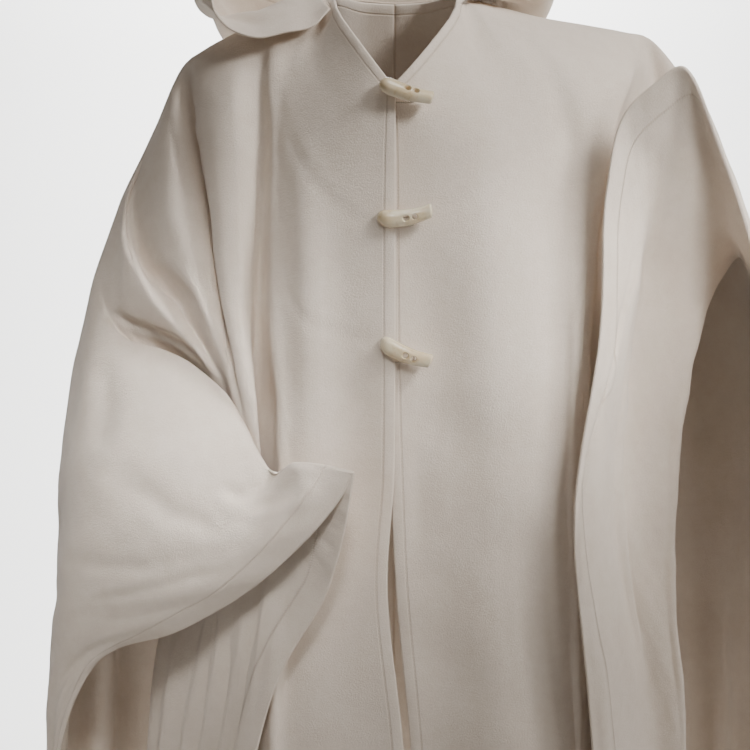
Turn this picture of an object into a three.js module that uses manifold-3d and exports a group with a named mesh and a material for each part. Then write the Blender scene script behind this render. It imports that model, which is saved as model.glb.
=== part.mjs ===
// A worn wool poncho: open-front ruana cut, hood lying down, three toggles held by cord loops.
// Millimetres, +Z up, front towards -Y, origin where the cloth hangs on the wearer between the shoulders.
import * as THREE from 'three';
import { mergeVertices } from 'three/addons/utils/BufferGeometryUtils.js';
import Module from 'manifold-3d';

const wasm = await Module();
wasm.setup();

// ---------- driving dimensions ----------
const WALL = 2;          // felted wool
const SEAM = 0.3;        // gap between pieces that meet
const NECK_ACROSS = 68;  // from the centre line to the neck point, where the shoulder fold begins
const MITRE = 25;        // how far from the shoulder fold front and back share one outward direction
const COLUMN_STEP = 30;  // across the cloth, between grid columns
const FOLD_STRETCH = 1.6; // at most, how much longer the way through the wall is at a fold's edge
const LEVELS = ['top', 'chest', 'armpit', 'bust', 'crook', 'wrist', 'thigh', 'hem'];
const ROWS_TO_LEVEL = [2, 2, 2, 2, 2, 3, 3]; // grid rows from each level to the next
const HOOD_LINE = ['seam', 'fold', 'fall', 'hollow', 'turn', 'rise', 'rim'];
const HOOD_STEPS = { along: 3, over: 2 };    // grid steps between sections, and between the points of one
const TOGGLE = {
  length: 52, wide: 17, thick: 9, backRound: 0.8, bow: 3.5,
  hole: 2.3, holePitch: 7.5, holesFromMiddle: 5, sides: 14, holeSides: 10, domePower: 0.8,
};
const LOOP = { cord: 1.1, reach: 17, spread: 4, under: 5, drop: 4, sides: 8, bendSteps: 6, steps: 18 };

const WOOL = new THREE.MeshStandardMaterial({ color: 0xe4ddd2, roughness: 0.95, metalness: 0 });
const RESIN = new THREE.MeshStandardMaterial({ color: 0xd8c9a6, roughness: 0.25, metalness: 0 });
const CORD = new THREE.MeshStandardMaterial({ color: 0xd9cfbd, roughness: 0.8, metalness: 0 });

// ---------- fold tables ----------
// A row is one fold line of the cloth. `across` is its distance from the centre line, along the shoulder of
// the flat cut. `top` is its point on the neck edge or the shoulder fold. Its points at seven levels follow,
// down to the hem.
const FRONT_RIGHT = [
  { name: 'front edge', across: 0, top: [-1, -122, -83], chest: [-1, -128, -150],
    armpit: [-1, -132, -240], bust: [-1, -134, -340], crook: [-2, -136, -450],
    wrist: [-8, -139, -560], thigh: [6, -144, -700], hem: [26, -152, -925] },
  { name: 'front trough', across: 30, top: [-27, -106, -50], chest: [-44, -121, -130],
    armpit: [-49, -127, -230], bust: [-51, -128, -335], crook: [-52, -128, -445],
    wrist: [-58, -134, -562], thigh: [-52, -143, -705], hem: [-38, -152, -928] },
  { name: 'front ridge', across: 52, top: [-55, -55, -13], chest: [-76, -98, -105],
    armpit: [-83, -122, -215], bust: [-85, -130, -330], crook: [-86, -133, -440],
    wrist: [-92, -137, -565], thigh: [-90, -144, -708], hem: [-85, -151, -932] },
  { name: 'side neck', across: 68, top: [-66, 4, 4], chest: [-96, -68, -75],
    armpit: [-101, -104, -190], bust: [-103, -118, -310], crook: [-101, -127, -425],
    wrist: [-106, -134, -545], thigh: [-110, -142, -700], hem: [-112, -149, -935] },
  { name: 'panel fold', across: 115, top: [-110, 9, -9], chest: [-121, -50, -62],
    armpit: [-119, -88, -165], bust: [-119, -106, -290], crook: [-114, -119, -400],
    wrist: [-114, -128, -500], thigh: [-126, -138, -660], hem: [-138, -146, -940] },
  { name: 'behind the fold', across: 131, top: [-126, 11, -15], chest: [-126, -45, -62],
    armpit: [-122, -79, -165], bust: [-124, -88, -288], crook: [-119, -88, -402],
    wrist: [-125, -92, -495], thigh: [-165, -72, -655], hem: [-180, -90, -950] },
  { name: 'deep crease', across: 148, top: [-142, 12, -22], chest: [-133, -42, -62],
    armpit: [-129, -72, -163], bust: [-133, -73, -284], crook: [-146, -54, -400],
    wrist: [-158, -40, -490], thigh: [-236, -6, -650], hem: [-252, -5, -965] },
  { name: 'roll side', across: 166, top: [-158, 12, -30], chest: [-146, -48, -68],
    armpit: [-141, -81, -163], bust: [-140, -88, -284], crook: [-142, -90, -400],
    wrist: [-163, -68, -478], thigh: [-240, -34, -645], hem: [-264, -20, -970] },
  { name: 'long roll', across: 188, top: [-178, 12, -41], chest: [-160, -58, -82],
    armpit: [-153, -90, -168], bust: [-149, -104, -286], crook: [-132, -119, -402],
    wrist: [-136, -100, -472], thigh: [-226, -52, -640], hem: [-250, -36, -975] },
  { name: 'roll edge', across: 205, top: [-193, 13, -50], chest: [-190, -40, -94],
    armpit: [-184, -72, -170], bust: [-168, -96, -287], crook: [-142, -117, -399],
    wrist: [-142, -102, -471], thigh: [-222, -59, -640], hem: [-257, -44, -978] },
  { name: 'arm valley', across: 222, top: [-207, 12, -60], chest: [-198, -16, -100],
    armpit: [-182, -38, -172], bust: [-162, -66, -286], crook: [-147, -110, -396],
    wrist: [-146, -104, -470], thigh: [-218, -66, -640], hem: [-266, -52, -980] },
  { name: 'arm side', across: 252, top: [-222, 10, -86], chest: [-216, -36, -128],
    armpit: [-196, -60, -200], bust: [-172, -80, -286], crook: [-152, -105, -392],
    wrist: [-150, -106, -469], thigh: [-208, -76, -640], hem: [-251, -62, -983] },
  { name: 'arm ridge', across: 285, top: [-236, 6, -114], chest: [-228, -38, -150],
    armpit: [-214, -66, -215], bust: [-188, -86, -286], crook: [-155, -99, -388],
    wrist: [-153, -108, -468], thigh: [-200, -84, -640], hem: [-239, -74, -985] },
  { name: 'outer valley', across: 330, top: [-256, 2, -158], chest: [-260, -12, -200],
    armpit: [-250, -34, -254], bust: [-208, -56, -303], crook: [-160, -88, -386],
    wrist: [-159, -112, -468], thigh: [-194, -94, -640], hem: [-258, -86, -988] },
  { name: 'outer roll', across: 375, top: [-274, -2, -198], chest: [-268, -36, -232],
    armpit: [-240, -66, -284], bust: [-207, -76, -320], crook: [-165, -79, -386],
    wrist: [-164, -116, -468], thigh: [-182, -104, -640], hem: [-233, -98, -990] },
  { name: 'elbow crease', across: 462, top: [-300, -12, -285], chest: [-284, -24, -306],
    armpit: [-256, -30, -330], bust: [-214, -40, -354], crook: [-174, -66, -392],
    wrist: [-168, -121, -468], thigh: [-176, -114, -640], hem: [-250, -110, -993] },
  { name: 'elbow ridge', across: 515, top: [-278, -34, -325], chest: [-266, -30, -336],
    armpit: [-244, -37, -348], bust: [-214, -52, -367], crook: [-182, -80, -400],
    wrist: [-160, -127, -469], thigh: [-162, -123, -640], hem: [-222, -120, -995] },
  { name: 'forearm ridge', across: 576, top: [-222, -52, -343], chest: [-217, -56, -356],
    armpit: [-210, -62, -370], bust: [-200, -74, -386], crook: [-180, -98, -409],
    wrist: [-147, -134, -471], thigh: [-156, -131, -640], hem: [-238, -131, -997] },
  { name: 'forearm middle', across: 648, top: [-168, -92, -372], chest: [-168, -95, -384],
    armpit: [-167, -100, -398], bust: [-164, -107, -412], crook: [-158, -118, -428],
    wrist: [-130, -141, -474], thigh: [-142, -140, -640], hem: [-208, -141, -1000] },
  { name: 'cuff notch', across: 742, top: [-117, -147, -440], chest: [-115, -145, -445],
    armpit: [-113, -145, -447], bust: [-112, -145, -454], crook: [-113, -144, -458],
    wrist: [-111, -148, -486], thigh: [-134, -150, -630], hem: [-222, -150, -1003] },
  { name: 'lip', across: 782, top: [-95, -173, -427], chest: [-94, -170, -435],
    armpit: [-94, -167, -446], bust: [-94, -165, -461], crook: [-91, -162, -484],
    wrist: [-93, -160, -520], thigh: [-126, -155, -640], hem: [-205, -153, -1004] },
  { name: 'side edge', across: 830, top: [-39, -200, -430], chest: [-41, -197, -448],
    armpit: [-44, -193, -467], bust: [-48, -188, -490], crook: [-55, -181, -520],
    wrist: [-68, -172, -560], thigh: [-115, -160, -650], hem: [-190, -158, -1005] },
];

const BACK_RIGHT = [
  { name: 'centre back', across: 0, top: [0, 62, -2], chest: [0, 90, -70],
    armpit: [0, 107, -180], bust: [0, 113, -310], crook: [0, 112, -450],
    wrist: [0, 119, -600], thigh: [0, 128, -765], hem: [0, 137, -935] },
  { name: 'back trough', across: 30, top: [-32, 55, 0], chest: [-38, 86, -68],
    armpit: [-42, 103, -180], bust: [-43, 104, -310], crook: [-44, 98, -450],
    wrist: [-45, 99, -600], thigh: [-46, 102, -765], hem: [-47, 105, -938] },
  { name: 'side neck', across: 68, top: [-66, 4, 4], chest: [-78, 80, -62],
    armpit: [-84, 106, -180], bust: [-87, 117, -312], crook: [-90, 120, -452],
    wrist: [-93, 130, -602], thigh: [-96, 143, -768], hem: [-98, 153, -942] },
  { name: 'blade trough', across: 115, top: [-104, 8, -7], chest: [-112, 75, -72],
    armpit: [-118, 98, -192], bust: [-122, 100, -326], crook: [-126, 92, -467],
    wrist: [-130, 94, -616], thigh: [-134, 96, -780], hem: [-138, 98, -947] },
  { name: 'blade', across: 148, top: [-142, 12, -22], chest: [-148, 73, -85],
    armpit: [-152, 100, -205], bust: [-156, 107, -340], crook: [-160, 106, -482],
    wrist: [-164, 113, -630], thigh: [-168, 124, -790], hem: [-173, 134, -952] },
  { name: 'shoulder trough', across: 188, top: [-176, 12, -39], chest: [-180, 66, -100],
    armpit: [-184, 88, -218], bust: [-188, 92, -352], crook: [-192, 86, -493],
    wrist: [-197, 90, -640], thigh: [-202, 96, -797], hem: [-208, 102, -957] },
  { name: 'shoulder', across: 222, top: [-207, 12, -60], chest: [-212, 62, -118],
    armpit: [-217, 88, -232], bust: [-223, 98, -365], crook: [-229, 104, -505],
    wrist: [-235, 114, -650], thigh: [-241, 128, -805], hem: [-248, 142, -962] },
  { name: 'arm trough', across: 285, top: [-233, 7, -108], chest: [-244, 50, -170],
    armpit: [-252, 66, -280], bust: [-258, 70, -407], crook: [-263, 68, -540],
    wrist: [-268, 72, -675], thigh: [-274, 78, -822], hem: [-280, 84, -968] },
  { name: 'arm', across: 330, top: [-256, 2, -158], chest: [-276, 42, -225],
    armpit: [-288, 58, -330], bust: [-296, 66, -450], crook: [-300, 72, -575],
    wrist: [-304, 82, -700], thigh: [-310, 96, -838], hem: [-317, 108, -975] },
  { name: 'elbow trough', across: 396, top: [-282, -4, -218], chest: [-300, 24, -287],
    armpit: [-310, 34, -385], bust: [-314, 38, -498], crook: [-315, 42, -612],
    wrist: [-318, 48, -728], thigh: [-322, 56, -854], hem: [-328, 64, -981] },
  { name: 'elbow back', across: 462, top: [-300, -12, -285], chest: [-324, 12, -347],
    armpit: [-342, 22, -440], bust: [-348, 32, -545], crook: [-350, 44, -650],
    wrist: [-354, 56, -755], thigh: [-356, 66, -870], hem: [-363, 76, -988] },
  { name: 'elbow front', across: 515, top: [-278, -34, -325], chest: [-304, -46, -372],
    armpit: [-330, -44, -450], bust: [-344, -24, -545], crook: [-348, 2, -650],
    wrist: [-350, 24, -755], thigh: [-359, 38, -870], hem: [-362, 46, -990] },
  { name: 'forearm', across: 576, top: [-222, -52, -343], chest: [-250, -90, -385],
    armpit: [-284, -112, -450], bust: [-320, -94, -535], crook: [-348, -50, -628],
    wrist: [-362, -10, -735], thigh: [-372, 12, -860], hem: [-382, 22, -990] },
  { name: 'forearm middle', across: 648, top: [-168, -92, -372], chest: [-186, -128, -408],
    armpit: [-214, -148, -462], bust: [-262, -138, -533], crook: [-318, -92, -606],
    wrist: [-350, -38, -700], thigh: [-354, -8, -840], hem: [-352, -4, -990] },
  { name: 'cuff', across: 742, top: [-117, -147, -440], chest: [-124, -157, -459],
    armpit: [-150, -172, -495], bust: [-198, -162, -546], crook: [-262, -120, -602],
    wrist: [-325, -62, -672], thigh: [-364, -26, -810], hem: [-382, -30, -988] },
  { name: 'lip', across: 782, top: [-95, -173, -427], chest: [-91, -189, -446],
    armpit: [-121, -188, -493], bust: [-172, -169, -550], crook: [-241, -126, -604],
    wrist: [-310, -73, -660], thigh: [-356, -33, -788], hem: [-370, -43, -987] },
  { name: 'side edge', across: 830, top: [-39, -200, -430], chest: [-52, -198, -456],
    armpit: [-86, -189, -500], bust: [-140, -168, -553], crook: [-215, -130, -606],
    wrist: [-291, -82, -645], thigh: [-345, -40, -760], hem: [-354, -56, -985] },
];

const FRONT_LEFT = [
  { name: 'front edge', across: 0, top: [-9, -115, -86], chest: [-9, -121, -150],
    armpit: [-9, -125, -240], bust: [-8, -127, -340], crook: [-5, -129, -450],
    wrist: [0, -132, -560], thigh: [13, -138, -700], hem: [32, -147, -925] },
  { name: 'front trough', across: 30, top: [22, -102, -53], chest: [31, -117, -130],
    armpit: [33, -123, -230], bust: [34, -125, -335], crook: [38, -127, -445],
    wrist: [48, -131, -562], thigh: [56, -137, -705], hem: [70, -146, -928] },
  { name: 'front ridge', across: 52, top: [55, -55, -13], chest: [80, -104, -105],
    armpit: [84, -126, -215], bust: [86, -133, -330], crook: [88, -136, -440],
    wrist: [92, -140, -565], thigh: [104, -146, -708], hem: [118, -153, -930] },
  { name: 'side neck', across: 68, top: [66, 4, 4], chest: [112, -84, -82],
    armpit: [118, -114, -200], bust: [122, -124, -320], crook: [126, -128, -435],
    wrist: [130, -132, -560], thigh: [140, -138, -700], hem: [150, -146, -932] },
  { name: 'panel side', across: 115, top: [110, 9, -9], chest: [150, -68, -62],
    armpit: [160, -98, -180], bust: [162, -112, -305], crook: [162, -122, -425],
    wrist: [164, -128, -545], thigh: [174, -134, -695], hem: [184, -142, -935] },
  { name: 'panel fold', across: 200, top: [196, 12, -26], chest: [222, -52, -72],
    armpit: [204, -92, -132], bust: [185, -110, -280], crook: [182, -121, -401],
    wrist: [178, -125, -520], thigh: [185, -130, -685], hem: [194, -137, -938] },
  { name: 'behind the fold', across: 233, top: [228, 8, -30], chest: [238, -22, -62],
    armpit: [214, -52, -140], bust: [198, -62, -285], crook: [196, -70, -400],
    wrist: [196, -72, -520], thigh: [206, -76, -685], hem: [216, -82, -940] },
  { name: 'deep crease', across: 258, top: [252, 4, -36], chest: [254, 0, -78],
    armpit: [240, -8, -160], bust: [226, -16, -290], crook: [222, -20, -400],
    wrist: [224, -20, -520], thigh: [236, -18, -690], hem: [246, -14, -945] },
  { name: 'upper arm', across: 350, top: [300, -6, -108], chest: [288, -22, -165],
    armpit: [272, -34, -240], bust: [262, -42, -330], crook: [258, -48, -430],
    wrist: [262, -52, -545], thigh: [276, -56, -705], hem: [286, -58, -955] },
  { name: 'elbow', across: 500, top: [336, -50, -245], chest: [314, -58, -275],
    armpit: [296, -66, -325], bust: [284, -68, -390], crook: [276, -70, -470],
    wrist: [274, -72, -570], thigh: [290, -76, -715], hem: [304, -80, -960] },
  { name: 'groove', across: 640, top: [314, -102, -205], chest: [285, -92, -222],
    armpit: [250, -74, -260], bust: [232, -72, -330], crook: [224, -78, -430],
    wrist: [228, -82, -545], thigh: [252, -78, -690], hem: [262, -92, -960] },
  { name: 'edge fold', across: 735, top: [292, -128, -135], chest: [262, -122, -150],
    armpit: [238, -114, -185], bust: [226, -118, -250], crook: [208, -128, -335],
    wrist: [190, -142, -420], thigh: [204, -146, -640], hem: [235, -150, -960] },
  { name: 'side edge', across: 830, top: [262, -145, -62], chest: [236, -138, -78],
    armpit: [209, -132, -108], bust: [194, -134, -180], crook: [190, -144, -310],
    wrist: [168, -154, -480], thigh: [184, -160, -660], hem: [212, -158, -950] },
];

const BACK_LEFT = [
  { name: 'centre back', across: 0, top: [0, 62, -2], chest: [0, 90, -70],
    armpit: [0, 107, -180], bust: [0, 113, -310], crook: [0, 112, -450],
    wrist: [0, 119, -600], thigh: [0, 128, -765], hem: [0, 137, -935] },
  { name: 'back ridge', across: 30, top: [32, 55, 0], chest: [38, 88, -68],
    armpit: [42, 111, -180], bust: [45, 120, -310], crook: [48, 124, -450],
    wrist: [51, 135, -600], thigh: [54, 147, -765], hem: [57, 158, -938] },
  { name: 'side neck', across: 68, top: [66, 4, 4], chest: [82, 79, -62],
    armpit: [90, 103, -180], bust: [95, 108, -312], crook: [100, 103, -452],
    wrist: [105, 106, -602], thigh: [110, 110, -768], hem: [115, 113, -942] },
  { name: 'blade ridge', across: 108, top: [103, 8, -7], chest: [116, 76, -72],
    armpit: [124, 105, -190], bust: [130, 116, -324], crook: [135, 118, -466],
    wrist: [140, 129, -615], thigh: [146, 142, -779], hem: [152, 154, -946] },
  { name: 'blade', across: 150, top: [147, 11, -16], chest: [154, 72, -80],
    armpit: [160, 98, -200], bust: [165, 104, -335], crook: [169, 100, -478],
    wrist: [174, 104, -628], thigh: [179, 109, -790], hem: [185, 112, -950] },
  { name: 'shoulder ridge', across: 192, top: [188, 12, -24], chest: [194, 68, -88],
    armpit: [200, 95, -202], bust: [206, 104, -341], crook: [211, 107, -485],
    wrist: [217, 117, -635], thigh: [223, 130, -796], hem: [231, 141, -954] },
  { name: 'shoulder', across: 233, top: [228, 8, -30], chest: [236, 61, -92],
    armpit: [240, 85, -206], bust: [244, 90, -346], crook: [248, 86, -490],
    wrist: [253, 90, -640], thigh: [258, 95, -800], hem: [265, 98, -956] },
  { name: 'arm ridge', across: 290, top: [272, -1, -64], chest: [282, 54, -135],
    armpit: [288, 76, -246], bust: [291, 85, -382], crook: [293, 88, -520],
    wrist: [297, 97, -660], thigh: [303, 110, -812], hem: [311, 122, -961] },
  { name: 'upper arm', across: 350, top: [300, -6, -108], chest: [320, 41, -180],
    armpit: [324, 57, -290], bust: [322, 60, -420], crook: [319, 60, -550],
    wrist: [320, 65, -680], thigh: [325, 73, -825], hem: [332, 78, -966] },
  { name: 'sleeve ridge', across: 425, top: [322, -26, -176], chest: [346, 12, -245],
    armpit: [356, 32, -348], bust: [358, 44, -467], crook: [356, 52, -588],
    wrist: [358, 62, -709], thigh: [363, 76, -844], hem: [370, 90, -971] },
  { name: 'elbow', across: 500, top: [336, -50, -245], chest: [364, -24, -310],
    armpit: [376, -4, -405], bust: [375, 10, -515], crook: [370, 20, -625],
    wrist: [368, 26, -738], thigh: [370, 34, -862], hem: [372, 40, -975] },
  { name: 'elbow ridge', across: 570, top: [328, -78, -238], chest: [362, -72, -306],
    armpit: [378, -60, -392], bust: [386, -40, -503], crook: [387, -20, -615],
    wrist: [390, 0, -729], thigh: [396, 20, -856], hem: [404, 34, -979] },
  { name: 'forearm', across: 640, top: [314, -102, -205], chest: [350, -114, -280],
    armpit: [374, -108, -375], bust: [382, -88, -490], crook: [382, -62, -605],
    wrist: [380, -38, -720], thigh: [378, -16, -850], hem: [376, -2, -982] },
  { name: 'wrist', across: 735, top: [292, -128, -135], chest: [328, -146, -205],
    armpit: [358, -146, -305], bust: [376, -126, -430], crook: [386, -98, -560],
    wrist: [394, -70, -690], thigh: [402, -46, -830], hem: [410, -30, -982] },
  { name: 'side edge', across: 830, top: [262, -145, -62], chest: [292, -160, -128],
    armpit: [326, -166, -225], bust: [348, -154, -345], crook: [362, -132, -480],
    wrist: [370, -108, -625], thigh: [374, -82, -790], hem: [376, -64, -978] },
];

// A row is one section of the lying hood, from its seam on the neck edge over the hollow to the rim.
const HOOD = [
  { name: 'right front end', seam: [-64, -42, -7.8], fold: [-80, -50, -24], fall: [-105, -54, -30],
    hollow: [-134, -56, -36], turn: [-158, -50, -29], rise: [-174, -40, -10], rim: [-176, -26, 16] },
  { name: 'right shoulder', seam: [-72, 6, 5.2], fold: [-86, 7, 4], fall: [-108, 9, 2],
    hollow: [-140, 10, -8], turn: [-172, 10, -12], rise: [-196, 8, 6], rim: [-196, 2, 40] },
  { name: 'right back', seam: [-54, 50, 4.2], fold: [-68, 68, -1], fall: [-90, 92, -22],
    hollow: [-122, 122, -62], turn: [-156, 140, -62], rise: [-178, 136, -12], rim: [-176, 116, 42] },
  { name: 'right of centre', seam: [-28, 64, 2.2], fold: [-34, 82, -7], fall: [-46, 112, -50],
    hollow: [-64, 140, -130], turn: [-84, 176, -150], rise: [-100, 186, -84], rim: [-100, 158, 24] },
  { name: 'centre back', seam: [4, 69, 0.2], fold: [4, 88, -11], fall: [4, 112, -70],
    hollow: [2, 136, -170], turn: [0, 176, -192], rise: [-2, 192, -110], rim: [-2, 158, 18] },
  { name: 'left back', seam: [46, 56, 3.2], fold: [58, 72, -2], fall: [78, 98, -24],
    hollow: [102, 124, -66], turn: [130, 138, -64], rise: [146, 132, -14], rim: [142, 110, 34] },
  { name: 'left shoulder', seam: [72, 10, 5.2], fold: [84, 12, 4], fall: [102, 16, 4],
    hollow: [124, 20, -2], turn: [146, 22, 2], rise: [156, 18, 20], rim: [148, 12, 42] },
  { name: 'left front end', seam: [70, -20, 2.2], fold: [78, -20, 2], fall: [90, -18, 4],
    hollow: [106, -16, 3], turn: [120, -14, 9], rise: [126, -14, 22], rim: [118, -12, 36] },
];

// A row is one toggle: its middle, its tilt in degrees, anticlockwise as seen from the front, how far its
// face is turned upwards, how far it stands off the cloth, and how far its loop lies behind the front edge.
const TOGGLES = [
  { name: '1', x: 8, z: -88, tilt: -16, roll: 50, off: 5, behind: 2.1 },
  { name: '2', x: 8, z: -202, tilt: 8, roll: 0, off: 0.7, behind: 0.8 },
  { name: '3', x: 8, z: -331, tilt: -22, roll: 0, off: 0.7, behind: 0.8 },
];

// A row is one section along a toggle. `at` runs from 0 at its round end to 1; the rest are shares of its
// size.
const TOGGLE_SECTIONS = [
  { at: 0, height: 0.35, depth: 0.4 },
  { at: 0.04, height: 0.72, depth: 0.72 },
  { at: 0.12, height: 0.94, depth: 0.94 },
  { at: 0.28, height: 1, depth: 1 },
  { at: 0.5, height: 0.96, depth: 1 },
  { at: 0.72, height: 0.88, depth: 0.94 },
  { at: 0.93, height: 0.8, depth: 0.82 },
  { at: 1, height: 0.7, depth: 0.66 },
];

// ---------- cloth ----------
/** The point of a table's row under one of its columns. */
const pointOf = (row, columnName) => new THREE.Vector3(...row[columnName]);

/** A point on the smooth curve through the points; place counts the points, 0 for the first. */
function onCurve(points, place) {
  const curve = new THREE.CatmullRomCurve3(points, false, 'centripetal');
  return curve.getPoint(THREE.MathUtils.clamp(place / (points.length - 1), 0, 1));
}

/** How many rows of the table lie before this distance across, as a whole number and a part. */
function placeAcross(rows, across) {
  const next = rows.findIndex((row) => row.across >= across);
  if (next <= 0) return 0;
  const from = rows[next - 1].across;
  return next - 1 + (across - from) / (rows[next].across - from);
}

/** The point of a table at one level and one distance across. */
function levelPoint(rows, level, across) {
  return onCurve(rows.map((row) => pointOf(row, level)), placeAcross(rows, across));
}

/** Where the rows of a grid lie between the levels, the levels counted from 0. */
const ROW_PLACES = [0, ...ROWS_TO_LEVEL.flatMap((count, level) => (
  Array.from({ length: count }, (_, k) => level + (k + 1) / count)))];

/** The distances across at which a half's grid has its columns: each fold line, with even steps between. */
function columnsOf(...tables) {
  const folds = [...new Set(tables.flat().map((row) => row.across))].sort((a, b) => a - b);
  return folds.flatMap((fold, k) => {
    if (k === 0) return [fold];
    const width = fold - folds[k - 1];
    const steps = Math.max(1, Math.round(width / COLUMN_STEP));
    return Array.from({ length: steps }, (_, step) => fold - width * (steps - 1 - step) / steps);
  });
}

/** One column of cloth from its top to the hem. Past the neck it runs smoothly on from the other side of
 * the shoulder fold, whose line both sides take from the front's table. */
function column(rows, opposite, frontRows, across) {
  const own = LEVELS.map((level) => levelPoint(rows, level, across));
  const beyond = across >= NECK_ACROSS ? [levelPoint(opposite, LEVELS[1], across)] : [];
  if (across >= NECK_ACROSS) own[0] = levelPoint(frontRows, LEVELS[0], across);
  const line = [...beyond, ...own];
  return ROW_PLACES.map((place) => onCurve(line, beyond.length + place));
}

/** The direction of a line at one of its points, 2 long where it is straight and shorter where it bends. */
function directionAt(line, k) {
  const steps = [k, k + 1].filter((to) => to > 0 && to < line.length);
  const units = steps.map((to) => line[to].clone().sub(line[to - 1]).normalize());
  return units.reduce((sum, unit) => sum.add(unit), new THREE.Vector3()).multiplyScalar(2 / steps.length);
}

/** The outward direction of the cloth at each point of a grid, 1 long and up to FOLD_STRETCH in a fold, where
 * the wall needs it to keep its thickness. Turned is for grids counted the other way round. */
function normalsOf(grid, turned) {
  return grid.map((line, i) => line.map((_, j) => {
    const across = directionAt(grid.map((other) => other[j]), i);
    const down = directionAt(line, j);
    const length = Math.min(FOLD_STRETCH, 2 / Math.min(across.length(), down.length()));
    return across.cross(down).setLength(turned ? -length : length);
  }));
}

/** A closed wall: the outer grid, the same grid moved inwards by the wall, and a strip round their edge. */
function wall(grid, normals, turned) {
  const across = grid.length;
  const down = grid[0].length;
  const points = [0, -WALL].flatMap((depth) => grid.flatMap((line, i) => (
    line.map((point, j) => point.clone().addScaledVector(normals[i][j], depth)))));
  const inner = across * down;
  const at = (i, j) => i * down + j;
  const faces = [];
  const add = (...corners) => faces.push(...(turned ? corners.reverse() : corners));
  /** Two triangles for a quad of the cloth, split along its shorter diagonal. */
  const quad = (a, b, c, d) => {
    if (points[a].distanceTo(points[c]) < points[b].distanceTo(points[d])) {
      add(a, b, c);
      add(a, c, d);
    } else {
      add(a, b, d);
      add(b, c, d);
    }
  };
  /** Two triangles across the cloth's thickness, split alike on pieces that meet. */
  const edge = (a, b) => {
    add(a, inner + a, inner + b);
    add(a, inner + b, b);
  };
  for (let i = 0; i + 1 < across; i += 1) {
    for (let j = 0; j + 1 < down; j += 1) {
      quad(at(i, j), at(i + 1, j), at(i + 1, j + 1), at(i, j + 1));
      quad(inner + at(i, j), inner + at(i, j + 1), inner + at(i + 1, j + 1), inner + at(i + 1, j));
    }
  }
  for (let i = 0; i + 1 < across; i += 1) {
    edge(at(i, 0), at(i + 1, 0));
    edge(at(i + 1, down - 1), at(i, down - 1));
  }
  for (let j = 0; j + 1 < down; j += 1) {
    edge(at(across - 1, j), at(across - 1, j + 1));
    edge(at(0, j + 1), at(0, j));
  }
  const geometry = new THREE.BufferGeometry().setFromPoints(points);
  geometry.setIndex(faces);
  geometry.computeVertexNormals();
  return geometry;
}

/** Parts the front from the back along the shoulder fold, with one outward direction where they meet. */
function partShoulder(columns, front, back) {
  const first = columns.indexOf(NECK_ACROSS);
  const aways = columns.slice(first).map((_, k) => {
    const i = first + k;
    const normal = front.normals[i][0].clone().add(back.normals[i][0]).normalize();
    const [before, after] = [Math.max(first, i - 1), Math.min(columns.length - 1, i + 1)];
    const along = front.grid[after][0].clone().sub(front.grid[before][0]);
    const away = along.cross(normal).setLength(SEAM / 2);
    if (away.dot(front.grid[i][1].clone().sub(back.grid[i][1])) < 0) away.negate();
    for (const { grid, normals } of [front, back]) {
      grid[i].forEach((point, j) => {
        const own = THREE.MathUtils.smoothstep(point.distanceTo(grid[i][0]), 0, MITRE);
        normals[i][j].lerp(normal, 1 - own).normalize();
      });
    }
    return away;
  });
  aways.forEach((away, k) => {
    front.grid[first + k][0].add(away);
    back.grid[first + k][0].sub(away);
  });
}

/** One half of the poncho, its front and its back as walls. Side is -1 for the wearer's right, else 1. */
function half(frontRows, backRows, side) {
  const columns = columnsOf(frontRows, backRows);
  const sheet = (rows, opposite, turned) => {
    const grid = columns.map((across) => column(rows, opposite, frontRows, across));
    return { grid, normals: normalsOf(grid, turned), turned };
  };
  const front = sheet(frontRows, backRows, side > 0);
  const back = sheet(backRows, frontRows, side < 0);
  partShoulder(columns, front, back);
  back.grid[0].forEach((point, j) => {
    point.x += side * SEAM / 2;
    back.normals[0][j].setX(0).normalize();
  });
  return [front, back].map(({ grid, normals, turned }) => wall(grid, normals, turned));
}

/** The lying hood: a grid of points along the neck and over its sections. */
function hoodWall() {
  const { along, over } = HOOD_STEPS;
  const grid = Array.from({ length: (HOOD.length - 1) * along + 1 }, (_, i) => {
    const line = HOOD_LINE.map((name) => onCurve(HOOD.map((row) => pointOf(row, name)), i / along));
    return Array.from({ length: (line.length - 1) * over + 1 }, (_point, j) => onCurve(line, j / over));
  });
  return wall(grid, normalsOf(grid, false), false);
}

// ---------- toggles and loops ----------
const FRONT_EDGE = column(FRONT_RIGHT, BACK_RIGHT, FRONT_RIGHT, 0);

/** Where the outer face of the right front lies at a height on its front edge. */
function frontAt(z) {
  const below = FRONT_EDGE.findIndex((point) => point.z <= z);
  const [upper, lower] = [FRONT_EDGE[below - 1], FRONT_EDGE[below]];
  return THREE.MathUtils.mapLinear(z, upper.z, lower.z, upper.y, lower.y);
}

/** A closed body through rings with the same number of points, with a flat face at both ends. */
function loft(rings) {
  const count = rings[0].length;
  const faces = [];
  rings.slice(1).forEach((_, k) => {
    for (let i = 0; i < count; i += 1) {
      const [a, b] = [k * count + i, k * count + (i + 1) % count];
      faces.push(a, b, a + count, b, b + count, a + count);
    }
  });
  const last = (rings.length - 1) * count;
  for (let i = 1; i + 1 < count; i += 1) {
    faces.push(0, i + 1, i);
    faces.push(last, last + i, last + i + 1);
  }
  const geometry = new THREE.BufferGeometry().setFromPoints(rings.flat());
  geometry.setIndex(faces);
  return geometry;
}

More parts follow.
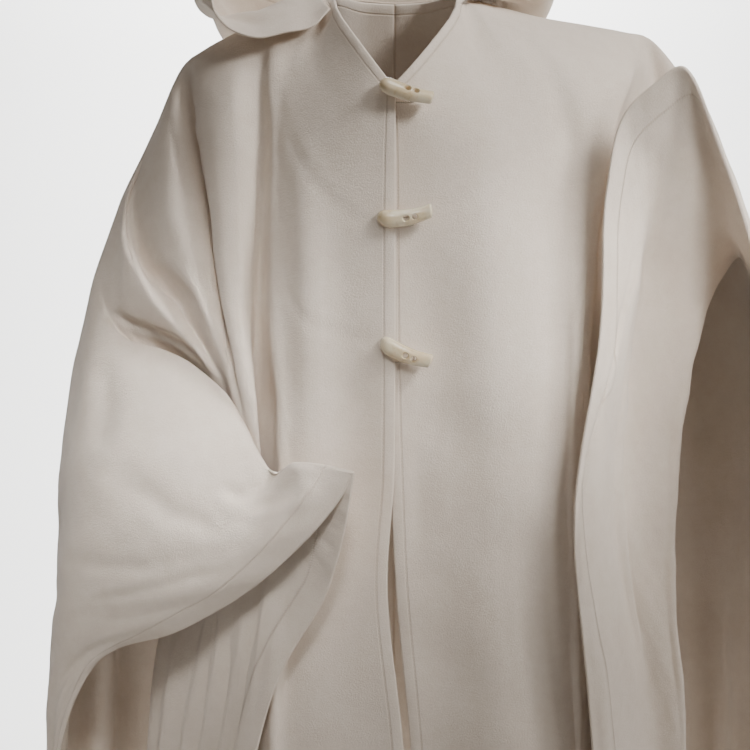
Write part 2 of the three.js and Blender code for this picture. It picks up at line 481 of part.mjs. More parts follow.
/** The solid with this geometry's surface. */
function solidOf(geometry) {
  const bare = geometry.clone();
  bare.deleteAttribute('normal');
  bare.deleteAttribute('uv');
  const merged = mergeVertices(bare);
  return new wasm.Manifold(new wasm.Mesh({
    numProp: 3,
    vertProperties: new Float32Array(merged.attributes.position.array),
    triVerts: new Uint32Array(merged.index.array),
  }));
}

/** The surface of a solid. */
function geometryOf(solid) {
  const { vertProperties, triVerts } = solid.getMesh();
  const geometry = new THREE.BufferGeometry();
  geometry.setAttribute('position', new THREE.BufferAttribute(vertProperties, 3));
  geometry.setIndex(new THREE.BufferAttribute(triVerts, 1));
  return geometry;
}

/** A resin toggle along X: its back near y = 0, a domed front, a round end, a squared one and two holes. */
function toggleGeometry() {
  const rings = TOGGLE_SECTIONS.map(({ at, height, depth }) => {
    const x = (at - 0.5) * TOGGLE.length;
    const rise = TOGGLE.bow * (2 * at - 1) ** 2;
    return Array.from({ length: TOGGLE.sides }, (_, k) => {
      const turn = 2 * Math.PI * k / TOGGLE.sides;
      const forward = Math.max(0, Math.sin(turn)) ** TOGGLE.domePower * TOGGLE.thick * depth;
      const backward = TOGGLE.backRound * Math.min(0, Math.sin(turn));
      return new THREE.Vector3(x, backward - forward, Math.cos(turn) * TOGGLE.wide * height / 2 + rise);
    });
  });
  const holes = [-0.5, 0.5].map((side) => {
    const drill = new THREE.CylinderGeometry(TOGGLE.hole, TOGGLE.hole, 4 * TOGGLE.thick, TOGGLE.holeSides);
    return solidOf(drill.translate(TOGGLE.holesFromMiddle + side * TOGGLE.holePitch, 0, 0));
  });
  return geometryOf(holes.reduce((solid, hole) => solid.subtract(hole), solidOf(loft(rings))));
}

/** A cord bent into a U on its side, open to -X, its ends under the front edge. */
function loopGeometry() {
  const bend = Array.from({ length: LOOP.bendSteps + 1 }, (_, k) => {
    const turn = Math.PI * (0.5 - k / LOOP.bendSteps);
    const x = LOOP.reach - LOOP.spread + LOOP.spread * Math.cos(turn);
    return new THREE.Vector3(x, 0, LOOP.spread * Math.sin(turn));
  });
  const [upper, lower] = [LOOP.spread, -LOOP.spread].map((z) => new THREE.Vector3(-LOOP.under, 0, z));
  const path = new THREE.CatmullRomCurve3([upper, ...bend, lower], false, 'centripetal');
  const section = new THREE.Shape(Array.from({ length: LOOP.sides }, (_, k) => {
    const turn = 2 * Math.PI * k / LOOP.sides;
    return new THREE.Vector2(LOOP.cord * Math.cos(turn), LOOP.cord * Math.sin(turn));
  }));
  return new THREE.ExtrudeGeometry(section, { steps: LOOP.steps, bevelEnabled: false, extrudePath: path });
}

// ---------- the poncho ----------
const poncho = new THREE.Group();

/** Adds a named piece to the poncho. */
function addPiece(name, geometry, material) {
  const piece = new THREE.Mesh(geometry, material.clone());
  piece.name = name;
  poncho.add(piece);
  return piece;
}

const HALVES = [
  { name: 'right', front: FRONT_RIGHT, back: BACK_RIGHT, side: -1 },
  { name: 'left', front: FRONT_LEFT, back: BACK_LEFT, side: 1 },
];
for (const { name, front, back, side } of HALVES) {
  const [frontWall, backWall] = half(front, back, side);
  addPiece(`front_${name}`, frontWall, WOOL);
  addPiece(`back_${name}`, backWall, WOOL);
}
addPiece('hood', hoodWall(), WOOL);

const toggleForm = toggleGeometry();
const loopForm = loopGeometry();
for (const { name, x, z, tilt, roll, off, behind } of TOGGLES) {
  const toggle = addPiece(`toggle_${name}`, toggleForm, RESIN);
  toggle.position.set(x, frontAt(z) - off, z);
  toggle.rotation.set(-THREE.MathUtils.degToRad(roll), -THREE.MathUtils.degToRad(tilt), 0, 'YXZ');
  const loop = addPiece(`loop_${name}`, loopForm, CORD);
  loop.position.set(0, frontAt(z - LOOP.drop) + WALL + LOOP.cord + behind, z - LOOP.drop);
}

export default poncho;
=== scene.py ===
"""A worn cream wool poncho with its hood lying down, held by three resin toggles in cord loops.

Lengths in the tables are millimetres; meshes are in metres. X points to the wearer's left, -Y to the front
and Z up.
"""

import logging
import math
from dataclasses import dataclass
from enum import Enum
from typing import Any, Sequence

import bmesh
import bpy
import numpy as np
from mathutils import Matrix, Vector


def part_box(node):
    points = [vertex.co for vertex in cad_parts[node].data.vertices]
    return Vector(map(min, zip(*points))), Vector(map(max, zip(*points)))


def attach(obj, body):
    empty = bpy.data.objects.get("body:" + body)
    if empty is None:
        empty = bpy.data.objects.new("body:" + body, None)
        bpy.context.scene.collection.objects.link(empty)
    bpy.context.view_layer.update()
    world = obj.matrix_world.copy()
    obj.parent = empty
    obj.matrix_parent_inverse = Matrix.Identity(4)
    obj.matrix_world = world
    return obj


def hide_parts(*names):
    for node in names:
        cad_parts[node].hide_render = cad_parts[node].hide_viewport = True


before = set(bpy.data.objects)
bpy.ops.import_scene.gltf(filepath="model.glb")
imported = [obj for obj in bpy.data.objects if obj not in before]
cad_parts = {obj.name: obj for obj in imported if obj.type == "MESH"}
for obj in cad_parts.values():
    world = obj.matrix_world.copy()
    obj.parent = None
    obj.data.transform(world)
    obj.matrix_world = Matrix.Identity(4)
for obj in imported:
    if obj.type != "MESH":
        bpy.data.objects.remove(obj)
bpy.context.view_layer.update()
log = logging.getLogger("poncho")

MM = 0.001
FAR = 999.0  # stands for the distance to a border that a point doesn't have, in millimetres
FINE_LINES = (0.12, 0.45, 1.2)  # how far in the fine lines by a border lie, as shares of half the thickness
EDGE_LINES = np.array([0, 1, 2, 4])  # how far a panel's outermost lines lie from its border, in millimetres
CUT_EDGE = 4.0  # how far past a turned band its step falls away, in millimetres
DOUBLES = 2e-6  # cloth vertices nearer than this are one, in metres
TUBE_DOUBLES = 1e-6  # the same for tubes, whose first ring may be a point
Array = np.ndarray
Point = tuple[float, float, float]
Place = tuple[float, float]


class Side(Enum):
    """A half of the poncho, by the wearer's side; its value is the sign of X there."""

    RIGHT = -1
    LEFT = 1


class Panel(Enum):
    """The front or the back of a half."""

    FRONT = "front"
    BACK = "back"


class Finish(Enum):
    """The record's material slots."""

    WOOL = "wool_felt"
    RESIN = "toggle_resin"
    CORD = "loop_cord"


# ---------------------------------------------------------------- fold tables

LEVEL_DOWN = np.array([0.0, 75.0, 175.0, 300.0, 440.0, 575.0, 730.0, 930.0])
NECK_ACROSS = 68.0


@dataclass(frozen=True)
class Fold:
    """One fold line of the cloth, from the neck edge or shoulder fold down to the hem.

    across is its distance from the centre line along the shoulder of the flat cut; the rest are its points.
    """

    name: str
    across: float
    top: Point
    chest: Point
    armpit: Point
    bust: Point
    crook: Point
    wrist: Point
    thigh: Point
    hem: Point

    def points(self) -> tuple[Point, ...]:
        """Its points, from the top to the hem."""
        return (self.top, self.chest, self.armpit, self.bust, self.crook, self.wrist, self.thigh, self.hem)


FRONT_RIGHT = (
    Fold("front edge", 0, (-1, -122, -83), (-1, -128, -150), (-1, -132, -240), (-1, -134, -340),
         (-2, -136, -450), (-8, -139, -560), (6, -144, -700), (26, -152, -925)),
    Fold("front trough", 30, (-27, -106, -50), (-44, -121, -130), (-49, -127, -230), (-51, -128, -335),
         (-52, -128, -445), (-58, -134, -562), (-52, -143, -705), (-38, -152, -928)),
    Fold("front ridge", 52, (-55, -55, -13), (-76, -98, -105), (-83, -122, -215), (-85, -130, -330),
         (-86, -133, -440), (-92, -137, -565), (-90, -144, -708), (-85, -151, -932)),
    Fold("side neck", 68, (-66, 4, 4), (-96, -68, -75), (-101, -104, -190), (-103, -118, -310),
         (-101, -127, -425), (-106, -134, -545), (-110, -142, -700), (-112, -149, -935)),
    Fold("panel fold", 115, (-110, 9, -9), (-121, -50, -62), (-119, -88, -165), (-119, -106, -290),
         (-114, -119, -400), (-114, -128, -500), (-126, -138, -660), (-138, -146, -940)),
    Fold("behind the fold", 131, (-126, 11, -15), (-126, -45, -62), (-122, -79, -165), (-124, -88, -288),
         (-119, -88, -402), (-125, -92, -495), (-165, -72, -655), (-180, -90, -950)),
    Fold("deep crease", 148, (-142, 12, -22), (-133, -42, -62), (-129, -72, -163), (-133, -73, -284),
         (-146, -54, -400), (-158, -40, -490), (-236, -6, -650), (-252, -5, -965)),
    Fold("roll side", 166, (-158, 12, -30), (-146, -48, -68), (-141, -81, -163), (-140, -88, -284),
         (-142, -90, -400), (-163, -68, -478), (-240, -34, -645), (-264, -20, -970)),
    Fold("long roll", 188, (-178, 12, -41), (-160, -58, -82), (-153, -90, -168), (-149, -104, -286),
         (-132, -119, -402), (-136, -100, -472), (-226, -52, -640), (-250, -36, -975)),
    Fold("roll edge", 205, (-193, 13, -50), (-190, -40, -94), (-184, -72, -170), (-168, -96, -287),
         (-142, -117, -399), (-142, -102, -471), (-222, -59, -640), (-257, -44, -978)),
    Fold("arm valley", 222, (-207, 12, -60), (-198, -16, -100), (-182, -38, -172), (-162, -66, -286),
         (-147, -110, -396), (-146, -104, -470), (-218, -66, -640), (-266, -52, -980)),
    Fold("arm side", 252, (-222, 10, -86), (-216, -36, -128), (-196, -60, -200), (-172, -80, -286),
         (-152, -105, -392), (-150, -106, -469), (-208, -76, -640), (-251, -62, -983)),
    Fold("arm ridge", 285, (-236, 6, -114), (-228, -38, -150), (-214, -66, -215), (-188, -86, -286),
         (-155, -99, -388), (-153, -108, -468), (-200, -84, -640), (-239, -74, -985)),
    Fold("outer valley", 330, (-256, 2, -158), (-260, -12, -200), (-250, -34, -254), (-208, -56, -303),
         (-160, -88, -386), (-159, -112, -468), (-194, -94, -640), (-258, -86, -988)),
    Fold("outer roll", 375, (-274, -2, -198), (-268, -36, -232), (-240, -66, -284), (-207, -76, -320),
         (-165, -79, -386), (-164, -116, -468), (-182, -104, -640), (-233, -98, -990)),
    Fold("elbow crease", 462, (-300, -12, -285), (-284, -24, -306), (-256, -30, -330), (-214, -40, -354),
         (-174, -66, -392), (-168, -121, -468), (-176, -114, -640), (-250, -110, -993)),
    Fold("elbow ridge", 515, (-278, -34, -325), (-266, -30, -336), (-244, -37, -348), (-214, -52, -367),
         (-182, -80, -400), (-160, -127, -469), (-162, -123, -640), (-222, -120, -995)),
    Fold("forearm ridge", 576, (-222, -52, -343), (-217, -56, -356), (-210, -62, -370), (-200, -74, -386),
         (-180, -98, -409), (-147, -134, -471), (-156, -131, -640), (-238, -131, -997)),
    Fold("forearm middle", 648, (-168, -92, -372), (-168, -95, -384), (-167, -100, -398), (-164, -107, -412),
         (-158, -118, -428), (-130, -141, -474), (-142, -140, -640), (-208, -141, -1000)),
    Fold("cuff notch", 742, (-117, -147, -440), (-115, -145, -445), (-113, -145, -447), (-112, -145, -454),
         (-113, -144, -458), (-111, -148, -486), (-134, -150, -630), (-222, -150, -1003)),
    Fold("lip", 782, (-95, -173, -427), (-94, -170, -435), (-94, -167, -446), (-94, -165, -461),
         (-91, -162, -484), (-93, -160, -520), (-126, -155, -640), (-205, -153, -1004)),
    Fold("side edge", 830, (-39, -200, -430), (-41, -197, -448), (-44, -193, -467), (-48, -188, -490),
         (-55, -181, -520), (-68, -172, -560), (-115, -160, -650), (-190, -158, -1005)),
)

BACK_RIGHT = (
    Fold("centre back", 0, (0, 62, -2), (0, 90, -70), (0, 107, -180), (0, 113, -310),
         (0, 112, -450), (0, 119, -600), (0, 128, -765), (0, 137, -935)),
    Fold("back trough", 30, (-32, 55, 0), (-38, 86, -68), (-42, 103, -180), (-43, 104, -310),
         (-44, 98, -450), (-45, 99, -600), (-46, 102, -765), (-47, 105, -938)),
    Fold("side neck", 68, (-66, 4, 4), (-78, 80, -62), (-84, 106, -180), (-87, 117, -312),
         (-90, 120, -452), (-93, 130, -602), (-96, 143, -768), (-98, 153, -942)),
    Fold("blade trough", 115, (-104, 8, -7), (-112, 75, -72), (-118, 98, -192), (-122, 100, -326),
         (-126, 92, -467), (-130, 94, -616), (-134, 96, -780), (-138, 98, -947)),
    Fold("blade", 148, (-142, 12, -22), (-148, 73, -85), (-152, 100, -205), (-156, 107, -340),
         (-160, 106, -482), (-164, 113, -630), (-168, 124, -790), (-173, 134, -952)),
    Fold("shoulder trough", 188, (-176, 12, -39), (-180, 66, -100), (-184, 88, -218), (-188, 92, -352),
         (-192, 86, -493), (-197, 90, -640), (-202, 96, -797), (-208, 102, -957)),
    Fold("shoulder", 222, (-207, 12, -60), (-212, 62, -118), (-217, 88, -232), (-223, 98, -365),
         (-229, 104, -505), (-235, 114, -650), (-241, 128, -805), (-248, 142, -962)),
    Fold("arm trough", 285, (-233, 7, -108), (-244, 50, -170), (-252, 66, -280), (-258, 70, -407),
         (-263, 68, -540), (-268, 72, -675), (-274, 78, -822), (-280, 84, -968)),
    Fold("arm", 330, (-256, 2, -158), (-276, 42, -225), (-288, 58, -330), (-296, 66, -450),
         (-300, 72, -575), (-304, 82, -700), (-310, 96, -838), (-317, 108, -975)),
    Fold("elbow trough", 396, (-282, -4, -218), (-300, 24, -287), (-310, 34, -385), (-314, 38, -498),
         (-315, 42, -612), (-318, 48, -728), (-322, 56, -854), (-328, 64, -981)),
    Fold("elbow back", 462, (-300, -12, -285), (-324, 12, -347), (-342, 22, -440), (-348, 32, -545),
         (-350, 44, -650), (-354, 56, -755), (-356, 66, -870), (-363, 76, -988)),
    Fold("elbow front", 515, (-278, -34, -325), (-304, -46, -372), (-330, -44, -450), (-344, -24, -545),
         (-348, 2, -650), (-350, 24, -755), (-359, 38, -870), (-362, 46, -990)),
    Fold("forearm", 576, (-222, -52, -343), (-250, -90, -385), (-284, -112, -450), (-320, -94, -535),
         (-348, -50, -628), (-362, -10, -735), (-372, 12, -860), (-382, 22, -990)),
    Fold("forearm middle", 648, (-168, -92, -372), (-186, -128, -408), (-214, -148, -462), (-262, -138, -533),
         (-318, -92, -606), (-350, -38, -700), (-354, -8, -840), (-352, -4, -990)),
    Fold("cuff", 742, (-117, -147, -440), (-124, -157, -459), (-150, -172, -495), (-198, -162, -546),
         (-262, -120, -602), (-325, -62, -672), (-364, -26, -810), (-382, -30, -988)),
    Fold("lip", 782, (-95, -173, -427), (-91, -189, -446), (-121, -188, -493), (-172, -169, -550),
         (-241, -126, -604), (-310, -73, -660), (-356, -33, -788), (-370, -43, -987)),
    Fold("side edge", 830, (-39, -200, -430), (-52, -198, -456), (-86, -189, -500), (-140, -168, -553),
         (-215, -130, -606), (-291, -82, -645), (-345, -40, -760), (-354, -56, -985)),
)

FRONT_LEFT = (
    Fold("front edge", 0, (-9, -115, -86), (-9, -121, -150), (-9, -125, -240), (-8, -127, -340),
         (-5, -129, -450), (0, -132, -560), (13, -138, -700), (32, -147, -925)),
    Fold("front trough", 30, (22, -102, -53), (31, -117, -130), (33, -123, -230), (34, -125, -335),
         (38, -127, -445), (48, -131, -562), (56, -137, -705), (70, -146, -928)),
    Fold("front ridge", 52, (55, -55, -13), (80, -104, -105), (84, -126, -215), (86, -133, -330),
         (88, -136, -440), (92, -140, -565), (104, -146, -708), (118, -153, -930)),
    Fold("side neck", 68, (66, 4, 4), (112, -84, -82), (118, -114, -200), (122, -124, -320),
         (126, -128, -435), (130, -132, -560), (140, -138, -700), (150, -146, -932)),
    Fold("panel side", 115, (110, 9, -9), (150, -68, -62), (160, -98, -180), (162, -112, -305),
         (162, -122, -425), (164, -128, -545), (174, -134, -695), (184, -142, -935)),
    Fold("panel fold", 200, (196, 12, -26), (222, -52, -72), (204, -92, -132), (185, -110, -280),
         (182, -121, -401), (178, -125, -520), (185, -130, -685), (194, -137, -938)),
    Fold("behind the fold", 233, (228, 8, -30), (238, -22, -62), (214, -52, -140), (198, -62, -285),
         (196, -70, -400), (196, -72, -520), (206, -76, -685), (216, -82, -940)),
    Fold("deep crease", 258, (252, 4, -36), (254, 0, -78), (240, -8, -160), (226, -16, -290),
         (222, -20, -400), (224, -20, -520), (236, -18, -690), (246, -14, -945)),
    Fold("upper arm", 350, (300, -6, -108), (288, -22, -165), (272, -34, -240), (262, -42, -330),
         (258, -48, -430), (262, -52, -545), (276, -56, -705), (286, -58, -955)),
    Fold("elbow", 500, (336, -50, -245), (314, -58, -275), (296, -66, -325), (284, -68, -390),
         (276, -70, -470), (274, -72, -570), (290, -76, -715), (304, -80, -960)),
    Fold("groove", 640, (314, -102, -205), (285, -92, -222), (250, -74, -260), (232, -72, -330),
         (224, -78, -430), (228, -82, -545), (252, -78, -690), (262, -92, -960)),
    Fold("edge fold", 735, (292, -128, -135), (262, -122, -150), (238, -114, -185), (226, -118, -250),
         (208, -128, -335), (190, -142, -420), (204, -146, -640), (235, -150, -960)),
    Fold("side edge", 830, (262, -145, -62), (236, -138, -78), (209, -132, -108), (194, -134, -180),
         (190, -144, -310), (168, -154, -480), (184, -160, -660), (212, -158, -950)),
)

BACK_LEFT = (
    Fold("centre back", 0, (0, 62, -2), (0, 90, -70), (0, 107, -180), (0, 113, -310),
         (0, 112, -450), (0, 119, -600), (0, 128, -765), (0, 137, -935)),
    Fold("back ridge", 30, (32, 55, 0), (38, 88, -68), (42, 111, -180), (45, 120, -310),
         (48, 124, -450), (51, 135, -600), (54, 147, -765), (57, 158, -938)),
    Fold("side neck", 68, (66, 4, 4), (82, 79, -62), (90, 103, -180), (95, 108, -312),
         (100, 103, -452), (105, 106, -602), (110, 110, -768), (115, 113, -942)),
    Fold("blade ridge", 108, (103, 8, -7), (116, 76, -72), (124, 105, -190), (130, 116, -324),
         (135, 118, -466), (140, 129, -615), (146, 142, -779), (152, 154, -946)),
    Fold("blade", 150, (147, 11, -16), (154, 72, -80), (160, 98, -200), (165, 104, -335),
         (169, 100, -478), (174, 104, -628), (179, 109, -790), (185, 112, -950)),
    Fold("shoulder ridge", 192, (188, 12, -24), (194, 68, -88), (200, 95, -202), (206, 104, -341),
         (211, 107, -485), (217, 117, -635), (223, 130, -796), (231, 141, -954)),
    Fold("shoulder", 233, (228, 8, -30), (236, 61, -92), (240, 85, -206), (244, 90, -346),
         (248, 86, -490), (253, 90, -640), (258, 95, -800), (265, 98, -956)),
    Fold("arm ridge", 290, (272, -1, -64), (282, 54, -135), (288, 76, -246), (291, 85, -382),
         (293, 88, -520), (297, 97, -660), (303, 110, -812), (311, 122, -961)),
    Fold("upper arm", 350, (300, -6, -108), (320, 41, -180), (324, 57, -290), (322, 60, -420),
         (319, 60, -550), (320, 65, -680), (325, 73, -825), (332, 78, -966)),
    Fold("sleeve ridge", 425, (322, -26, -176), (346, 12, -245), (356, 32, -348), (358, 44, -467),
         (356, 52, -588), (358, 62, -709), (363, 76, -844), (370, 90, -971)),
    Fold("elbow", 500, (336, -50, -245), (364, -24, -310), (376, -4, -405), (375, 10, -515),
         (370, 20, -625), (368, 26, -738), (370, 34, -862), (372, 40, -975)),
    Fold("elbow ridge", 570, (328, -78, -238), (362, -72, -306), (378, -60, -392), (386, -40, -503),
         (387, -20, -615), (390, 0, -729), (396, 20, -856), (404, 34, -979)),
    Fold("forearm", 640, (314, -102, -205), (350, -114, -280), (374, -108, -375), (382, -88, -490),
         (382, -62, -605), (380, -38, -720), (378, -16, -850), (376, -2, -982)),
    Fold("wrist", 735, (292, -128, -135), (328, -146, -205), (358, -146, -305), (376, -126, -430),
         (386, -98, -560), (394, -70, -690), (402, -46, -830), (410, -30, -982)),
    Fold("side edge", 830, (262, -145, -62), (292, -160, -128), (326, -166, -225), (348, -154, -345),
         (362, -132, -480), (370, -108, -625), (374, -82, -790), (376, -64, -978)),
)


@dataclass(frozen=True)
class Section:
    """One section of the lying hood, from its seam on the neck edge over the hollow to the rim."""

    name: str
    seam: Point
    fold: Point
    fall: Point
    hollow: Point
    turn: Point
    rise: Point
    rim: Point

    def points(self) -> tuple[Point, ...]:
        """Its points, from the seam to the rim."""
        return (self.seam, self.fold, self.fall, self.hollow, self.turn, self.rise, self.rim)


HOOD = (
    Section("right front end", (-64, -42, -7.8), (-80, -50, -24), (-105, -54, -30),
            (-134, -56, -36), (-158, -50, -29), (-174, -40, -10), (-176, -26, 16)),
    Section("right shoulder", (-72, 6, 5.2), (-86, 7, 4), (-108, 9, 2),
            (-140, 10, -8), (-172, 10, -12), (-196, 8, 6), (-196, 2, 40)),
    Section("right back", (-54, 50, 4.2), (-68, 68, -1), (-90, 92, -22),
            (-122, 122, -62), (-156, 140, -62), (-178, 136, -12), (-176, 116, 42)),
    Section("right of centre", (-28, 64, 2.2), (-34, 82, -7), (-46, 112, -50),
            (-64, 140, -130), (-84, 176, -150), (-100, 186, -84), (-100, 158, 24)),
    Section("centre back", (4, 69, 0.2), (4, 88, -11), (4, 112, -70),
            (2, 136, -170), (0, 176, -192), (-2, 192, -110), (-2, 158, 18)),
    Section("left back", (46, 56, 3.2), (58, 72, -2), (78, 98, -24),
            (102, 124, -66), (130, 138, -64), (146, 132, -14), (142, 110, 34)),
    Section("left shoulder", (72, 10, 5.2), (84, 12, 4), (102, 16, 4),
            (124, 20, -2), (146, 22, 2), (156, 18, 20), (148, 12, 42)),
    Section("left front end", (70, -20, 2.2), (78, -20, 2), (90, -18, 4),
            (106, -16, 3), (120, -14, 9), (126, -14, 22), (118, -12, 36)),
)


# ---------------------------------------------------------------- curves, grids and shells


def smooth_through(points: Array, places: Array) -> Array:
    """Points on smooth curves through points: a cubic between neighbours whose slopes weigh by root distance.

    Args:
        points: the curves' points, the first axis along the curve, the last one X, Y and Z.
        places: where on the curve, 0 at its first point and 1 more at each next.

    Returns:
        One set of points for each place, along the first axis.
    """
    first, last = 2 * points[0] - points[1], 2 * points[-1] - points[-2]
    run = np.concatenate([first[None], points, last[None]])
    index = np.clip(np.floor(places).astype(int), 0, len(points) - 2)
    p0, p1, p2, p3 = (run[index + k] for k in range(4))
    part = (places - index).reshape((-1,) + (1,) * (points.ndim - 1))

    def root(a: Array, b: Array) -> Array:
        """The square root of the distance between points, never quite nought."""
        return np.maximum(np.sum((b - a) ** 2, axis=-1, keepdims=True) ** 0.25, 0.01)

    before, between, after = root(p0, p1), root(p1, p2), root(p2, p3)
    slope1 = ((p1 - p0) / before - (p2 - p0) / (before + between) + (p2 - p1) / between) * between
    slope2 = ((p2 - p1) / between - (p3 - p1) / (between + after) + (p3 - p2) / after) * between
    return (p1 + slope1 * part + (3 * (p2 - p1) - 2 * slope1 - slope2) * part**2
            + (2 * (p1 - p2) + slope1 + slope2) * part**3)


def ease(value: Array, start: float, end: float) -> Array:
    """0 before start, 1 after end, with a smooth cubic between; start may be the larger."""
    share = np.clip((value - start) / (end - start), 0.0, 1.0)
    return share * share * (3 - 2 * share)


def run_along(grid: Array, axis: int) -> Array:
    """The distance along the cloth from the grid's first line, added up step by step along an axis.

    Args:
        grid: points, the last axis X, Y and Z.
        axis: along which axis.

    Returns:
        The distance at each point, in the points' unit.
    """
    steps = np.linalg.norm(np.diff(grid, axis=axis), axis=-1)
    pad = np.zeros_like(np.take(steps, [0], axis=axis))
    return np.cumsum(np.concatenate([pad, steps], axis=axis), axis=axis)


def grid_quads(index: Array) -> Array:
    """The corners of each quad of a grid of vertex numbers."""
    return np.stack([index[:-1, :-1], index[1:, :-1], index[1:, 1:], index[:-1, 1:]], axis=-1).reshape(-1, 4)


def ring_quads(rings: int, around: int) -> Array:
    """The corners of the quads between closed rings of so many points each."""
    index = np.arange(rings * around).reshape(rings, around)
    return grid_quads(np.concatenate([index, index[:, :1]], axis=1))


def vertex_normals(points: Array, quads: Array) -> Array:
    """Each vertex's normal: the sum of the cross products of its quads' diagonals, made one long.

    Args:
        points: the vertices.
        quads: each quad's four vertex numbers.

    Returns:
        A unit vector for each vertex.
    """
    corner = points[quads]
    face = np.cross(corner[:, 2] - corner[:, 0], corner[:, 3] - corner[:, 1])
    normals = np.zeros_like(points)
    for k in range(4):
        np.add.at(normals, quads[:, k], face)
    return normals / np.maximum(np.linalg.norm(normals, axis=-1, keepdims=True), 1e-12)


def crowd_to_border(grid: Array, distances: Sequence[float]) -> Array:
    """The grid with its lines after the first moved to these distances from it, towards the line after them.

    Args:
        grid: points whose first axis counts lines from the border inwards.
        distances: how far from the border the next lines lie.

    Returns:
        A copy of the grid.
    """
    result = grid.copy()
    inner = grid[len(distances) + 1] - grid[0]
    unit = inner / np.maximum(np.linalg.norm(inner, axis=-1, keepdims=True), 1e-9)
    for k, distance in enumerate(distances):
        result[k + 1] = grid[0] + unit * distance
    return result


def crowd_to_both(grid: Array, distances: Sequence[float]) -> Array:
    """The grid with the lines next to its first and its last line moved to these distances from them."""
    return crowd_to_border(crowd_to_border(grid, distances)[::-1], distances)[::-1]


def turned_band(distance: Array, band: float, lap: float = 1.0) -> Array:
    """1 inside a turned band, 0 past it, easing off over its cut edge from lap inside the band's width."""
    return ease(distance, band + CUT_EDGE, band - lap)


def rounded(full: Array, border: Array) -> Array:
    """Half the cloth's thickness, falling as a quarter circle to nought at a border this far away."""
    inside = np.clip(border / full, 0, 1)
    return full * np.sqrt(np.maximum(1 - (1 - inside) ** 2, 0))


@dataclass(frozen=True)
class Crease:
    """A soft ridge or, with a negative height, trough drawn on the flat cloth.

    path holds its points as (across, down); width is how far from its line it has sunk to a third. The
    shoulder is the low opposite swell at both sides, and fading is the share of the path over which each end
    runs out.
    """

    name: str
    height: float
    width: float
    path: tuple[Place, ...]
    shoulder: float = 0.25
    shoulder_width: float = 2.2
    fading: float = 0.22

    def relief(self, across: Array, down: Array) -> Array:
        """Its height over the cloth: a bell across its line less a wider one, faded towards its two ends.

        Args:
            across: the first flat coordinate of each point.
            down: the second flat coordinate.

        Returns:
            The height at each point.
        """
        nearest = np.full(across.shape, np.inf)
        along = np.zeros(across.shape)
        start = 0.0
        for (a0, d0), (a1, d1) in zip(self.path, self.path[1:]):
            length = math.hypot(a1 - a0, d1 - d0)
            part = np.clip(((across - a0) * (a1 - a0) + (down - d0) * (d1 - d0)) / length**2, 0, 1)
            distance = np.hypot(across - a0 - part * (a1 - a0), down - d0 - part * (d1 - d0))
            along = np.where(distance < nearest, start + part * length, along)
            nearest = np.minimum(nearest, distance)
            start += length
        share = along / start
        fade = ease(share, 0.0, self.fading) * ease(share, 1.0, 1.0 - self.fading)
        away = nearest / self.width
        bell = np.exp(-(away**2)) - self.shoulder * np.exp(-((away / self.shoulder_width) ** 2))
        return self.height * fade * bell / (1 - self.shoulder)


def raise_by(creases: Sequence[Crease], across: Array, down: Array, waver: Array) -> Array:
    """The waver with the relief of each crease added at these flat places."""
    return sum((crease.relief(across, down) for crease in creases), start=waver)


def felt_waver(across: Array, down: Array, seed: float) -> Array:
    """The small unevenness of felted cloth: slow sine waves in four directions, added up."""
    waves = ((0.055, 0.021, 0.7), (-0.031, 0.047, 0.6), (0.093, -0.067, 0.28), (0.121, 0.139, 0.16))
    return sum(size * np.sin(a * across + d * down + seed * (k + 1)) for k, (a, d, size) in enumerate(waves))


@dataclass
class Shell:
    """Cloth of some thickness under its outer surface, closed and rounded at its borders; in millimetres.

    raised is how far each point is moved out along its normal, and wall is the CAD solid's thickness.
    """

    outer: Array
    quads: Array
    raised: Array
    half_thickness: Array
    marks: dict[str, Array]
    wall: float = 2.0

    def build(self, name: str) -> bpy.types.Object:
        """Makes the mesh: a middle surface half a wall inside the raised outer one, and two faces round it.

        Both faces stand off the middle surface by half the cloth's own thickness, and meet at the borders.

        Args:
            name: the object's name.

        Returns:
            The object, at the origin, its marks as float attributes and `wrong_side` 1 on the inner face.
        """
        lift = (self.raised - self.wall / 2)[:, None]
        middle = self.outer + vertex_normals(self.outer, self.quads) * lift
        offset = vertex_normals(middle, self.quads) * self.half_thickness[:, None]
        count = len(middle)
        points = np.concatenate([middle + offset, middle - offset]) * MM
        quads = np.concatenate([self.quads, self.quads[:, ::-1] + count])
        mesh = mesh_from(name, points, quads)
        marks = {key: np.concatenate([value, value]) for key, value in self.marks.items()}
        marks["wrong_side"] = np.concatenate([np.zeros(count), np.ones(count)])
        for key, value in marks.items():
            layer = mesh.attributes.new(key, "FLOAT", "POINT")
            layer.data.foreach_set("value", value.astype(np.float32))
        weld(mesh)
        return bpy.data.objects.new(name, mesh)


def mesh_from(name: str, points: Array, faces: Array) -> bpy.types.Mesh:
    """A smooth mesh from points in metres and faces that all have the same number of corners.

    Args:
        name: the mesh's name.
        points: the vertices.
        faces: each face's vertex numbers.

    Returns:
        The mesh.
    """
    mesh = bpy.data.meshes.new(name)
    count, corners = faces.shape
    mesh.vertices.add(len(points))
    mesh.vertices.foreach_set("co", points.astype(np.float32).ravel())
    mesh.loops.add(count * corners)
    mesh.loops.foreach_set("vertex_index", faces.astype(np.int32).ravel())
    mesh.polygons.add(count)
    mesh.polygons.foreach_set("loop_start", np.arange(0, count * corners, corners, dtype=np.int32))
    mesh.polygons.foreach_set("use_smooth", np.full(count, True))
    mesh.update(calc_edges=True)
    return mesh


def weld(mesh: bpy.types.Mesh) -> None:
    """Joins vertices that lie on one another.

    Args:
        mesh: the mesh, changed in place.
    """
    work = bmesh.new()
    work.from_mesh(mesh)
    bmesh.ops.remove_doubles(work, verts=work.verts, dist=DOUBLES)
    work.to_mesh(mesh)
    work.free()


